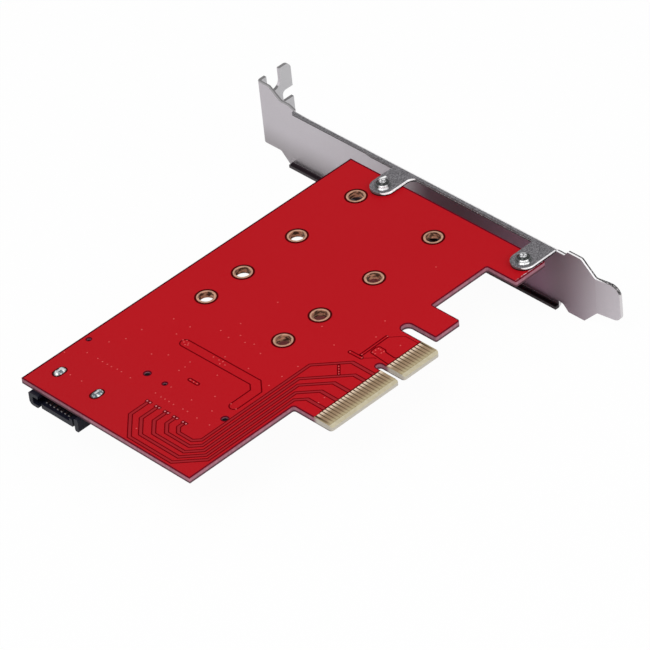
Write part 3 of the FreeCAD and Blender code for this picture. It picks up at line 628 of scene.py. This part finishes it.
def shifted_line(points, offsets):
    """Line beside a path: each corner solves p.n = v.n + offset for the two straights it joins."""
    points = np.asarray(points, float)
    run = np.diff(points, axis=0)
    run /= np.linalg.norm(run, axis=1)[:, None]
    normal = np.stack([-run[:, 1], run[:, 0]], axis=1)
    offsets = np.broadcast_to(np.asarray(offsets, float), (len(run),))
    before, after = normal[:-1], normal[1:]
    matrix = np.stack([before, after], axis=1)
    reach = np.stack([(points[1:-1] * before).sum(1) + offsets[:-1],
                      (points[1:-1] * after).sum(1) + offsets[1:]], axis=1)
    middle = np.linalg.solve(matrix, reach[:, :, None])[:, :, 0] if len(run) > 1 else np.empty((0, 2))
    first = points[0] + normal[0] * offsets[0]
    last = points[-1] + normal[-1] * offsets[-1]
    return np.concatenate([first[None], middle, last[None]])


def quads_between(count, size, closed=False):
    """Faces between neighbouring rings of corners, also from the last to the first if closed."""
    i = np.arange(count if closed else count - 1)[:, None] * size
    j = np.arange(size)[None, :]
    k = (j + 1) % size
    following = (i + size) % (count * size)
    quads = np.stack([i + j, i + k, following + k, following + j], axis=2)
    return [tuple(face) for face in quads.reshape(-1, 4)]


def tube(rings, closed=False, flipped=False):
    """Skin over rings, given as an array (ring, corner, place), with the end rings as faces
    unless it is closed."""
    count, size = rings.shape[:2]
    last = (count - 1) * size
    faces = quads_between(count, size, closed)
    if not closed:
        faces += [tuple(range(size - 1, -1, -1)), tuple(range(last, last + size))]
    return rings.reshape(-1, 3), [face[::-1] for face in faces] if flipped else faces


def ribbon(points, width, low, high):
    """Flat bar along a path: a rectangle of that width, from low to high, carried along it."""
    rings = np.zeros((len(points), 4, 3))
    rings[:, :2, :2] = shifted_line(points, width / 2)[:, None]
    rings[:, 2:, :2] = shifted_line(points, -width / 2)[:, None]
    rings[:, :, 2] = (low, high, high, low)
    return tube(rings)


def turned(centres, profile, segments):
    """Solids of revolution: a (radius, height) profile turned about an upright axis at each centre.
    The profile starts and ends on the axis."""
    profile = np.asarray(profile, float)
    body = profile[1:-1]
    angles = np.arange(segments) * 2 * math.pi / segments
    rings = np.zeros((len(body), segments, 3))
    rings[..., 0] = body[:, :1] * np.cos(angles)
    rings[..., 1] = body[:, :1] * np.sin(angles)
    rings[..., 2] = body[:, 1:]
    poles = [(0.0, 0.0, profile[0, 1]), (0.0, 0.0, profile[-1, 1])]
    points = np.concatenate([rings.reshape(-1, 3), poles])
    s = np.arange(segments)
    t = (s + 1) % segments
    pole = len(body) * segments
    last = pole - segments
    ends = np.concatenate([np.stack([t, s, 0 * s + pole], axis=1),
                           np.stack([last + s, last + t, 0 * s + pole + 1], axis=1)])
    faces = quads_between(len(body), segments) + [tuple(face) for face in ends]
    return join_surfaces([(points + (x, y, 0.0), faces) for x, y in centres])


WELD_STEPS = 2000


def welded(node_name):
    """Corners of a piece in millimetres with doubles joined on a fine grid, and its triangles."""
    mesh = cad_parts[node_name].data
    corners = np.empty(len(mesh.vertices) * 3)
    mesh.vertices.foreach_get("co", corners)
    mesh.calc_loop_triangles()
    triangles = np.empty(len(mesh.loop_triangles) * 3, int)
    mesh.loop_triangles.foreach_get("vertices", triangles)
    steps = np.round(corners.reshape(-1, 3) / MM * WELD_STEPS).astype(np.int64)
    kept, place = np.unique(steps, axis=0, return_inverse=True)
    return kept / WELD_STEPS, place.reshape(-1)[triangles.reshape(-1, 3)]


def island_boxes(node_name):
    """Low and high corners of each separate solid of a piece: labels spread along the edges
    until each corner carries the least number of its solid."""
    points, triangles = welded(node_name)
    label = np.arange(len(points))
    while True:
        least = label[triangles].min(axis=1)
        spread = label.copy()
        np.minimum.at(spread, triangles.reshape(-1), np.repeat(least, 3))
        if np.array_equal(spread, label):
            break
        label = spread
    names, group = np.unique(label, return_inverse=True)
    low = np.full((len(names), 3), 1e9)
    high = np.full((len(names), 3), -1e9)
    np.minimum.at(low, group.reshape(-1), points)
    np.maximum.at(high, group.reshape(-1), points)
    return np.stack([low, high], axis=1)


def closed_band(points, follow, width, low, high):
    """Flat band inside closed loops: each corner p runs to p + 2 width (n + m) / |n + m|^2, where
    n and m are the inward normals of its two edges; the section is a rectangle from low to high."""
    used, where = np.unique(follow, return_inverse=True)
    place = points[used][:, :2]
    first, second = where.reshape(-1, 2).T
    run = place[second] - place[first]
    run /= np.linalg.norm(run, axis=1)[:, None]
    inward = np.stack([-run[:, 1], run[:, 0]], axis=1)
    both = np.zeros_like(place)
    np.add.at(both, first, inward)
    np.add.at(both, second, inward)
    inner = place + 2 * width * both / (both ** 2).sum(axis=1)[:, None]
    count = len(place)
    rings = [np.column_stack([ring, np.full(count, level)])
             for ring, level in ((place, low), (inner, low), (inner, high), (place, high))]
    a = np.arange(4)[:, None] * count
    b = (a + count) % (4 * count)
    quads = np.stack([a + first, a + second, b + second, b + first], axis=2).reshape(-1, 4)
    return np.concatenate(rings), [tuple(face) for face in (quads[:, ::-1] if width > 0 else quads)]


def face_border(node_name, level):
    """Corners of a piece and the directed border edges of its flat face at a height."""
    points, triangles = welded(node_name)
    flat = triangles[(np.abs(points[triangles][:, :, 2] - level) < 1e-3).all(axis=1)]
    edges = flat[:, [0, 1, 1, 2, 2, 0]].reshape(-1, 2)
    codes = edges[:, 0] * len(points) + edges[:, 1]
    backward = edges[:, 1] * len(points) + edges[:, 0]
    return points, edges[~np.isin(codes, backward)]


# Tracks on the solder side: heights of the skins over the mask, and widths
FILL = (0.0, 0.012)
LINE = (0.0, 0.018)
PAIR_WIDTH = 0.8
GAP_WIDTH = 0.26
POUR_GAP = GAP_WIDTH + 0.05
SLOT_GAP = GAP_WIDTH + 0.06
FINE_GAP = GAP_WIDTH * 0.6
FEED_GAP = GAP_WIDTH * 1.2
MASK_END_GAP = 0.25

# Pairs: start height, upper turn (x - y), run, lower turn (x + y), level, last turn (x + y), finger
PAIR_ROUTES = (
    (39.35, -87.9, -54.27, -34.7, 13.76, -7.4, -19.0),
    (36.35, -84.3, -52.05, -32.35, 15.27, -3.83, -15.0),
    (33.40, -80.07, -49.95, -29.95, 16.80, 0.0, -11.0),
    (30.40, -75.9, -47.85, -27.35, 18.37, 3.3, -6.0),
    (27.40, -72.05, -46.07, -24.6, 19.91, 10.0, -3.0),
)
PAIR_START_X = -43.1
PAIR_HALVES = (0.45, 0.46, 0.42, 0.42, 0.385, 0.38, 0.5)


def pair_route(start_y, upper, run_x, lower, level_y, turn, finger_x):
    """Corners of a pair's middle line, from its two vias to the fingers."""
    return np.array([
        (PAIR_START_X, start_y),
        (start_y + upper, start_y),
        (run_x, run_x - upper),
        (run_x, lower - run_x),
        (lower - level_y, level_y),
        (turn - level_y, level_y),
        (finger_x, turn - finger_x),
        (finger_x, MASK_END_Y + 0.02),
    ])


def pair_tracks():
    """Copper of the pairs and the dark gaps on both sides of each."""
    copper = []
    gaps = []
    halves = np.array(PAIR_HALVES)
    for route in PAIR_ROUTES:
        middle = pair_route(*route)
        copper.append(ribbon(middle, PAIR_WIDTH, *FILL))
        gaps += [ribbon(shifted_line(middle, shift), GAP_WIDTH, *LINE) for shift in (halves, -halves)]
    return copper, gaps


def rounded_slot(middle, half, steps=10):
    """Closed line round a path: both sides at a half width, joined by half circles at the ends."""
    middle = np.asarray(middle, float)
    left = shifted_line(middle, half)
    right = shifted_line(middle, -half)[::-1]
    caps = []
    for end, before in ((middle[-1], middle[-2]), (middle[0], middle[1])):
        way = math.atan2(*(end - before)[::-1])
        angles = way + np.linspace(math.pi / 2, -math.pi / 2, steps + 2)[1:-1]
        caps.append(end + half * np.stack([np.cos(angles), np.sin(angles)], axis=1))
    return np.concatenate([left, caps[0], right, caps[1]])


def loop_band(line, width, low, high):
    """Flat band of a width on the outer side of a clockwise closed line, from low to high."""
    points = np.column_stack([line, np.zeros(len(line))])
    count = np.arange(len(line))
    return closed_band(points, np.stack([count, np.roll(count, -1)], axis=1), width, low, high)


def slot_line(middle, half, width, low, high):
    """Band whose middle follows a slot's outline."""
    return loop_band(rounded_slot(middle, half - width / 2), width, low, high)


# Outline of the power pour: the middle line and half width of its slot
POUR_MIDDLE = ((-22.6, 48.4), (-22.3, 25.2), (-24.4, 22.85), (-31.3, 22.85))
POUR_HALF = 1.28

pair_copper, gap_lines = pair_tracks()
gap_lines.append(slot_line(POUR_MIDDLE, POUR_HALF, POUR_GAP, *LINE))

# Short tracks, three by the key notch and one among the vias: middle line and half width
SHORT_TRACKS = (
    (((-0.6, 16.1), (-0.5, 12.5)), 0.42),
    (((0.35, 13.3), (8.75, 13.4)), 0.36),
    (((-5.8, 14.6), (-8.1, 12.3)), 0.25),
    (((-31.2, 37.8), (-31.2, 35.2)), 0.42),
)
for middle, half in SHORT_TRACKS:
    gap_lines.append(slot_line(middle, half, SLOT_GAP, *LINE))

# Thin lines near the fingers, the outline of the feed, and the end of the mask over both finger rows
FINE_LINES = (
    ((8.8, 13.0), (11.2, 10.56), (11.6, 10.05), (11.6, MASK_END_Y)),
    ((-0.2, 11.9), (1.36, 10.16), (1.4, 9.5)),
)
for line in FINE_LINES:
    gap_lines.append(ribbon(line, FINE_GAP, *LINE))
FINGER_ROWS = ((-20.6, -1.0), (1.0, 12.4))
MASK_LINE_Y = MASK_END_Y + 0.12
FEED_OUTLINE = ((1.68, MASK_END_Y), (2.2, 12.1), (2.75, 12.5), (4.4, 12.6), (5.1, 12.1), (5.1, 10.2),
                (4.55, 9.5), (4.3, 6.6), (4.8, MASK_END_Y))
gap_lines.append(ribbon(FEED_OUTLINE, FEED_GAP, *LINE))
for first_x, last_x in FINGER_ROWS:
    gap_lines.append(ribbon([(first_x, MASK_LINE_Y), (last_x, MASK_LINE_Y)], MASK_END_GAP, *LINE))

add_piece("signal_pair_copper", pair_copper, "pair_copper")
add_piece("copper_gap_lines", gap_lines, "gap_line")

# Mask-covered vias: low domes
VIA_PLACES = (
    (-30.37, 51.61), (-26.73, 42.44), (-28.74, 42.02), (-30.51, 42.17), (-35.85, 39.23), (-39.63, 40.44),
    (-39.82, 38.39), (-39.73, 37.14), (-39.77, 35.76), (-39.86, 34.16), (-36.1, 32.11), (-21.54, 52.46),
    (-39.59, 31.28), (-39.56, 29.82), (-39.79, 26.42), (-51.19, 34.51), (-14.75, 41.99), (-12.45, 40.34),
    (-13.61, 37.64), (-14.17, 31.9), (-21.99, 39.51), (-19.79, 30.11), (-31.79, 28.8), (-35.86, 25.56),
    (-39.7, 22.38), (-12.02, 21.69), (-16.93, 21.96), (-21.13, 21.96), (-1.17, 20.8), (1.92, 27.86),
    (7.09, 15.28), (8.43, 8.64), (12.65, 17.83), (34.8, 22.78), (-16.1, 8.92), (-18.24, 8.71),
    (-22.12, 49.64), (-22.67, 47.38), (-21.95, 37.71), (-22.34, 35.29), (-31.34, 23.97), (-31.87, 21.78),
    (-0.6, 16.1), (0.45, 13.3), (9.0, 13.35), (-0.4, 12.4), (-6.0, 14.4), (-6.7, 13.7), (-7.4, 13.0),
    (-8.0, 12.4), (-31.2, 37.6), (-31.2, 36.5), (-31.2, 35.4),
    (4.39, 11.82), (4.41, 11.1), (4.41, 10.05), (3.57, 11.9), (2.6, 11.9), (2.6, 11.1), (3.66, 10.16),
    (-39.45, 60.19), (-39.56, 58.52), (-39.52, 56.89), (-39.48, 55.5), (-39.28, 53.74), (-39.3, 52.32),
    (-39.51, 49.04), (-39.58, 63.76), (-33.57, 62.68), (-30.23, 60.5), (-25.56, 60.04), (-18.0, 57.11),
    (-17.68, 51.9), (-14.07, 45.29), (-47.63, 60.79), (-47.52, 57.0), (-42.82, 68.04), (-28.1, 48.29),
    (-26.11, 33.98), (-12.69, 35.51), (-20.23, 37.45), (-21.81, 36.55), (-22.8, 36.55), (-22.5, 48.94),
    (-21.66, 48.78), (-22.13, 47.77), (-23.01, 48.03), (-9.31, 43.51), (1.76, 42.44),
)
VIA_DOME = ((0.0, 0.0), (0.2, 0.0), (0.18, 0.02), (0.1, 0.03), (0.0, 0.026))
VIA_SEGMENTS = 12
add_piece("tented_vias", [turned(VIA_PLACES, VIA_DOME, VIA_SEGMENTS)], "via_mask", smooth=True)

# Paired vias at the start of the pairs, and the pads round them
START_X = PAIR_START_X + 0.3
START_DOME = ((0.0, 0.0), (0.26, 0.0), (0.22, 0.03), (0.0, 0.035))
START_PAD = 0.95
START_PAD_TOP = 0.014
START_VIAS = tuple((START_X, route[0] + side * 0.5) for route in PAIR_ROUTES for side in (-1, 1))
add_piece("pair_start_vias", [turned(START_VIAS, START_DOME, VIA_SEGMENTS)], "pad_light", smooth=True)
pads = [ribbon([(START_X, route[0] - START_PAD), (START_X, route[0] + START_PAD)], START_PAD,
               0.0, START_PAD_TOP) for route in PAIR_ROUTES]
add_piece("pair_start_pads", pads, "pad_red")


def flat_ring(x, y, inner, outer, low, high, segments=48):
    """Washer: a rectangle between two radii and two heights turned about an upright axis."""
    angles = np.arange(segments)[:, None] * 2 * math.pi / segments
    radii = np.array([inner, outer, outer, inner])
    rings = np.zeros((segments, 4, 3))
    rings[..., 0] = x + radii * np.cos(angles)
    rings[..., 1] = y + radii * np.sin(angles)
    rings[..., 2] = (low, low, high, high)
    return tube(rings, closed=True, flipped=True)


# Dark openings of the mask round the stand-off rings, on both sides of the board; their dark colour is
# partly painted shade at the rings' outer edge
OPENING = (2.39, 2.88)
OPENING_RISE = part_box("standoff_hole_plating")[1][2] / MM + 0.02
openings = []
for y in ROW_YS:
    for heights in ((0.0, OPENING_RISE), (BOARD_LOW - OPENING_RISE, BOARD_LOW)):
        openings += [flat_ring(x, y, *OPENING, *heights) for x in STATION_XS]
add_piece("ring_mask_openings", openings, "ring_shadow")

# Dark line where the mask stops short of the board's cut edges, wider on the two far sides, where the extra
# band is painted shade
EDGE_WIDTH = 0.26
EDGE_WIDTH_BELOW = 0.32
EDGE_RISE = 0.006
FAR_SHADE_WIDTH = 0.4
FAR_SHADE_RISE = 0.008
BOARD_BOX = np.array(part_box("circuit_board")) / MM
FAR_X, FAR_Y = BOARD_BOX[1, :2] - FAR_SHADE_WIDTH / 2
far_shade_corners = [(BOARD_BOX[0, 0] + 0.1, FAR_Y), (FAR_X, FAR_Y), (FAR_X, FOOT_TOP_Y)]
top_points, top_border = face_border("circuit_board", 0.0)
low_points, low_border = face_border("circuit_board", BOARD_LOW)
add_piece("mask_edge_lines", [
    closed_band(top_points, top_border, EDGE_WIDTH, 0.0, EDGE_RISE),
    closed_band(low_points, low_border[:, ::-1], EDGE_WIDTH_BELOW, BOARD_LOW - EDGE_RISE, BOARD_LOW),
    ribbon(far_shade_corners, FAR_SHADE_WIDTH, 0.0, FAR_SHADE_RISE),
], "edge_line")


def outset_box(boxes, margin):
    """Footprints grown on all sides."""
    grown = boxes.copy()
    grown[:, 0, :2] -= margin
    grown[:, 1, :2] += margin
    return grown


def slab(box, low, high):
    """Flat plate over a footprint."""
    (x0, y0, _), (x1, y1, _) = box
    return ribbon([(x0, (y0 + y1) / 2), (x1, (y0 + y1) / 2)], y1 - y0, low, high)


def line_frame(box, width, low, high):
    """Printed rectangle round a part."""
    (x0, y0, _), (x1, y1, _) = box
    corners = np.array([(x0, y0), (x1, y0), (x1, y1), (x0, y1)])
    return closed_band(corners, np.array([(0, 1), (1, 2), (2, 3), (3, 0)]), width, low, high)


def fillets(boxes, margin, rise, steps=5):
    """Solder climbing a part's end: the footprint shrinks from pad to metal as (1 - t)^2 with height t."""
    t = np.linspace(0.0, 1.0, steps)
    spread = margin * (1 - t) ** 2
    centre = boxes[:, :, :2].mean(axis=1)
    half = (boxes[:, 1, :2] - boxes[:, 0, :2]) / 2
    signs = np.array([(-1, -1), (1, -1), (1, 1), (-1, 1)])
    reach = half[:, None, :] + spread[None, :, None]
    rings = np.zeros((len(boxes), steps, 4, 3))
    rings[..., :2] = centre[:, None, None, :] + signs * reach[:, :, None, :]
    rings[..., 2] = (BOARD_LOW - rise * t)[None, :, None]
    last = steps * 4 - 1
    faces = [(a, d, c, b) for a, b, c, d in quads_between(steps, 4)]
    faces += [(0, 1, 2, 3), (last, last - 1, last - 2, last - 3)]
    return join_surfaces([(one.reshape(-1, 3), faces) for one in rings])


def boxes_of(*node_names):
    """Boxes of all separate solids of several pieces."""
    return np.concatenate([island_boxes(name) for name in node_names])


# Component side: pads and solder under the small parts, with the solder's spread and rise
PAD = (BOARD_LOW - 0.03, BOARD_LOW)
PAD_MARGIN = 0.28
small_ends = boxes_of("chip_capacitor_ends", "chip_resistor_ends")
big_ends = boxes_of("bulk_capacitor_terminals", "power_inductor_terminals")
leads = boxes_of("regulator_leads")
pads = [slab(box, *PAD) for box in outset_box(np.concatenate([small_ends, big_ends, leads]), PAD_MARGIN)]
climbs = ((small_ends, 0.22, 0.3), (big_ends, 0.24, 0.5), (leads, 0.15, 0.12))
add_piece("component_pads", pads, "tinned")
add_piece("component_solder", [fillets(*climb) for climb in climbs], "solder", smooth=True)

# Component side: pads under the contact tails of both sockets and of the drive port
SOCKET_BACK_X = -41.5
TAIL_HALF = 0.75
TAIL_WIDTH = 0.3
PORT_TAIL_XS = (-46.6, -44.7)
tail_pads = []
for box in boxes_of("nvme_socket_contacts", "sata_socket_contacts"):
    middle_y = (box[0, 1] + box[1, 1]) / 2
    tail_x = box[0, 0] if box[0, 0] < SOCKET_BACK_X else box[1, 0]
    tail_pads.append(ribbon([(tail_x - TAIL_HALF, middle_y), (tail_x + TAIL_HALF, middle_y)],
                            TAIL_WIDTH, *PAD))
for box in outset_box(boxes_of("drive_port_contacts"), 0.1):
    box[:, 0] = PORT_TAIL_XS
    tail_pads.append(slab(box, *PAD))
add_piece("contact_tail_pads", tail_pads, "tinned")

# Component side: printed frames round the parts
INK = (BOARD_LOW - 0.012, BOARD_LOW)
INK_WIDTH = 0.14
INK_MARGIN = 0.85
framed = outset_box(boxes_of("regulator_body", "power_inductor_body", "bulk_capacitor_bodies",
                             "chip_resistor_bodies", "indicator_light_bases"), INK_MARGIN)
add_piece("printed_frames", [line_frame(box, INK_WIDTH, *INK) for box in framed], "ink_white")

# Component side: power tracks and signal tracks over the mask
LOW_FILL = (BOARD_LOW - 0.012, BOARD_LOW)
LOW_LINE = (BOARD_LOW - 0.018, BOARD_LOW)
SOCKET_TRACK = 0.28
PORT_TRACK = 0.25
POWER_TRACKS = (
    (((-50.0, 32.4), (-50.0, 34.2)), 1.1),
    (((-46.0, 28.6), (-44.4, 28.6), (-44.4, 33.4)), 0.8),
    (((-49.6, 24.6), (-49.6, 23.2)), 1.4),
    (((-40.0, 44.2), (-31.5, 44.2)), 0.6),
    (((-52.3, 41.4), (-46.4, 41.4)), 0.35),
)
low_lines = [slot_line(middle, half, GAP_WIDTH, *LOW_LINE) for middle, half in POWER_TRACKS]
low_tracks = []
for number in range(8):
    x = -19.0 + number * 1.6
    to_x = -18.5 + number * 2.0
    low_tracks.append(ribbon([(x, 14.95), (x, 13.2 - number * 0.1), (to_x, 8.6), (to_x, MASK_END_Y)],
                             SOCKET_TRACK, *LOW_FILL))
    low_tracks.append(ribbon([(x, 16.65), (x, 18.2)], SOCKET_TRACK, *LOW_FILL))
for number, contact_y in enumerate((54.61, 55.88, 58.42, 59.69)):
    tail_y = 52.4 + number * 3.1
    low_tracks.append(ribbon([(-44.6, contact_y), (-44.1, contact_y), (-43.9, tail_y), (-43.4, tail_y)],
                             PORT_TRACK, *LOW_FILL))
add_piece("component_side_gap_lines", low_lines, "gap_line")
add_piece("component_side_tracks", low_tracks, "mask_red")
LOW_DOME = tuple((radius, BOARD_LOW - height) for radius, height in reversed(VIA_DOME))
low_vias = turned(VIA_PLACES + START_VIAS, LOW_DOME, VIA_SEGMENTS)
add_piece("component_side_vias", [low_vias], "via_mask", smooth=True)


def carried(points, profile, taper):
    """Closed profile of (offset, height) pairs carried along a smooth path: each corner goes
    to p + taper * offset * n, with n the path's normal, and its height shrinks to the profile's first."""
    points = np.asarray(points, float)
    profile = np.asarray(profile, float)
    run = np.gradient(points, axis=0)
    run /= np.linalg.norm(run, axis=1)[:, None]
    normal = np.stack([-run[:, 1], run[:, 0]], axis=1)
    count, size = len(points), len(profile)
    ring = np.empty((count, size, 3))
    ring[..., :2] = points[:, None] + normal[:, None] * (taper[:, None] * profile[None, :, 0])[..., None]
    ring[..., 2] = profile[0, 1] + taper[:, None] * (profile[None, :, 1] - profile[0, 1])
    return tube(ring)


# Burr along the near edge of each bracket tab, its white a painted highlight: screw, end of the edge,
# fillet and share
TAB_HALF = 3.25
TAB_FILLET = 1.9
BURR_START = math.radians(212)
BURR = ((0.08, 0.87), (0.08, 0.5), (-0.05, 0.42), (-0.2, 0.5), (-0.03, 0.86))
TAB_EDGES = ((SCREW_YS[0], PLATE_X - 0.95, TAB_FILLET, 1.0), (SCREW_YS[1], PLATE_X - 0.4, 0.0, 0.7))


def tab_edge(y, end_x, fillet):
    """Edge of a tab from its screw end to its near side and its fillet, in even short steps."""
    around = np.linspace(BURR_START, math.pi * 3 / 2, 16)[:-1]
    tip = np.stack([SCREW_X + TAB_HALF * np.cos(around), y + TAB_HALF * np.sin(around)], axis=1)
    side_x = np.linspace(SCREW_X, end_x - fillet, 10)
    side = np.stack([side_x, np.full_like(side_x, y - TAB_HALF)], axis=1)
    turn = np.linspace(math.pi / 2, 0.35, 9)[1:]
    centre = (end_x - fillet, y - TAB_HALF - fillet)
    bend = np.stack([centre[0] + fillet * np.cos(turn), centre[1] + fillet * np.sin(turn)], axis=1)
    return np.concatenate([tip, side, bend] if fillet else [tip, side])


def ends_taper(count, first, last):
    """Share of the full size along a path: rises as a sine over the first and the last points."""
    place = np.arange(count)
    rise = np.sin(np.clip((place + 0.6) / first, 0, 1) * math.pi / 2)
    fall = np.sin(np.clip((count - place - 0.4) / last, 0, 1) * math.pi / 2)
    return rise * fall


burrs = []
for screw_y, end_x, fillet, share in TAB_EDGES:
    edge = tab_edge(screw_y, end_x, fillet)
    burrs.append(carried(edge, BURR, share * ends_taper(len(edge), 6, 5 if fillet else 1)))
add_piece("tab_edge_burrs", burrs, "burr_highlight")

# Dark opening of the mask round each solder joint of the drive port, its dark colour partly painted shade
JOINT_HALF_RUN = 0.7
JOINT_HALF_WIDTH = 1.04
JOINT_BORDER = 0.32
joint_rims = []
for y in LOCK_YS:
    rim_line = rounded_slot([(LOCK_X - JOINT_HALF_RUN, y), (LOCK_X + JOINT_HALF_RUN, y)], JOINT_HALF_WIDTH)
    joint_rims.append(loop_band(rim_line, JOINT_BORDER, 0.0, 0.02))
add_piece("joint_mask_openings", joint_rims, "ring_shadow")


def facing_matrix(place, side, up, back):
    """Matrix of a camera or lamp at a place whose X, Y and Z point to its side, up and back."""
    turn = Matrix([(side[i], up[i], back[i]) for i in range(3)])
    return Matrix.Translation(place) @ turn.to_4x4()


# Camera at the photograph's place
CAMERA_PLACE = (-0.589474, -0.654698, 0.711132)
CAMERA_SIDE = (0.70617, -0.702766, -0.086273)
CAMERA_UP = (0.485836, 0.392303, 0.781064)
CAMERA_BACK = (-0.51506, -0.593479, 0.618462)


def make_camera():
    """Perspective camera, which becomes the scene's own."""
    data = bpy.data.cameras.new("view")
    data.sensor_width = 36.0
    data.lens = 274.175
    data.clip_start = 0.05
    data.clip_end = 20.0
    camera = new_object("view", data)
    camera.matrix_world = facing_matrix(CAMERA_PLACE, CAMERA_SIDE, CAMERA_UP, CAMERA_BACK)
    bpy.context.scene.camera = camera


# Studio: pale floor that keeps a faint shadow, white surroundings and soft lamps
FLOOR_Z = -17.0 * MM
FLOOR_REACH = 3.0
FLOOR_GLOW = 0.965
FLOOR_MIRRORED = 0.12
SHADE_CENTRE = (5.0, 47.0)
SHADE_X = (44.0, 32.0)
SHADE_Y = (16.0, 6.0)
ROOM_STRENGTH = 0.55
WHITE = (1.0, 1.0, 1.0, 1.0)
FLOOR_PAINT = (0.82, 0.82, 0.82, 1.0)
SHADE_PAINT = (0.6, 0.3, 0.29, 1.0)


def seen_directly(tree):
    """Light Path outputs, and 1 for what the camera sees straight or through clear matter."""
    path = add_node(tree, "LightPath").outputs
    return path, maths("MAXIMUM", path["Is Camera Ray"], path["Is Transmission Ray"])


def mixed_output(tree, kind, share, first, second):
    """Output node fed by two shaders, the second by its share."""
    both = add_node(tree, "MixShader", {0: share, 1: first.outputs[0], 2: second.outputs[0]})
    add_node(tree, kind, {"Surface": both.outputs[0]})


def make_floor():
    """Floor that glows white where it is seen, apart from a reddish shade below the ring holes."""
    mesh = bpy.data.meshes.new("floor")
    corners = [(x * FLOOR_REACH, y * FLOOR_REACH, FLOOR_Z) for x, y in ((-1, -1), (1, -1), (1, 1), (-1, 1))]
    mesh.from_pydata(corners, [], [(0, 1, 2, 3)])
    floor = new_object("floor", mesh)
    material = bpy.data.materials.new("pale_floor")
    material.use_nodes = True
    tree = material.node_tree
    tree.nodes.clear()
    path, seen = seen_directly(tree)
    x, y, _ = parts(place_mm(tree))
    shade = product((unsigned(minus(x, SHADE_CENTRE[0])), *SHADE_X),
                    (unsigned(minus(y, SHADE_CENTRE[1])), *SHADE_Y))
    seen = product(seen, minus(FLOOR_GLOW, product(shade, FLOOR_GLOW)))
    share = maths("MAXIMUM", seen, product(path["Is Glossy Ray"], FLOOR_MIRRORED))
    tint = blend(shade, FLOOR_PAINT, SHADE_PAINT)
    paint = add_node(tree, "BsdfDiffuse", {"Color": tint})
    glow = add_node(tree, "Emission", {"Color": WHITE, "Strength": 1.0})
    mixed_output(tree, "OutputMaterial", share, paint, glow)
    mesh.materials.append(material)


def make_world():
    """Surroundings that are white where seen or mirrored and dimmer as a light."""
    world = bpy.data.worlds.new("studio")
    bpy.context.scene.world = world
    world.use_nodes = True
    tree = world.node_tree
    tree.nodes.clear()
    path, seen = seen_directly(tree)
    seen = maths("MAXIMUM", seen, path["Is Glossy Ray"])
    room = add_node(tree, "Background", {"Color": WHITE, "Strength": ROOM_STRENGTH})
    white = add_node(tree, "Background", {"Color": WHITE, "Strength": 1.0})
    mixed_output(tree, "OutputWorld", seen, room, white)


def make_lamp(name, place, aim, size, power):
    """Square soft lamp at a place, facing its aim."""
    data = bpy.data.lights.new(name, "AREA")
    data.shape = "SQUARE"
    data.size = size
    data.energy = power
    lamp = new_object(name, data)
    way = np.array(aim) - np.array(place)
    way /= np.linalg.norm(way)
    side = np.cross(way, (0.0, 0.0, 1.0))
    side /= np.linalg.norm(side)
    lamp.matrix_world = facing_matrix(place, side, np.cross(side, way), -way)


LAMP_AIM = (0.0, 0.04, 0.0)
LAMP_SIZE = 0.6
bpy.context.scene.view_settings.view_transform = "Standard"
make_camera()
make_floor()
make_world()
make_lamp("key_lamp", (-0.5, -0.1, 0.9), LAMP_AIM, LAMP_SIZE, 5.0)
make_lamp("fill_lamp", (0.3, -0.9, 0.5), LAMP_AIM, LAMP_SIZE, 3.0)
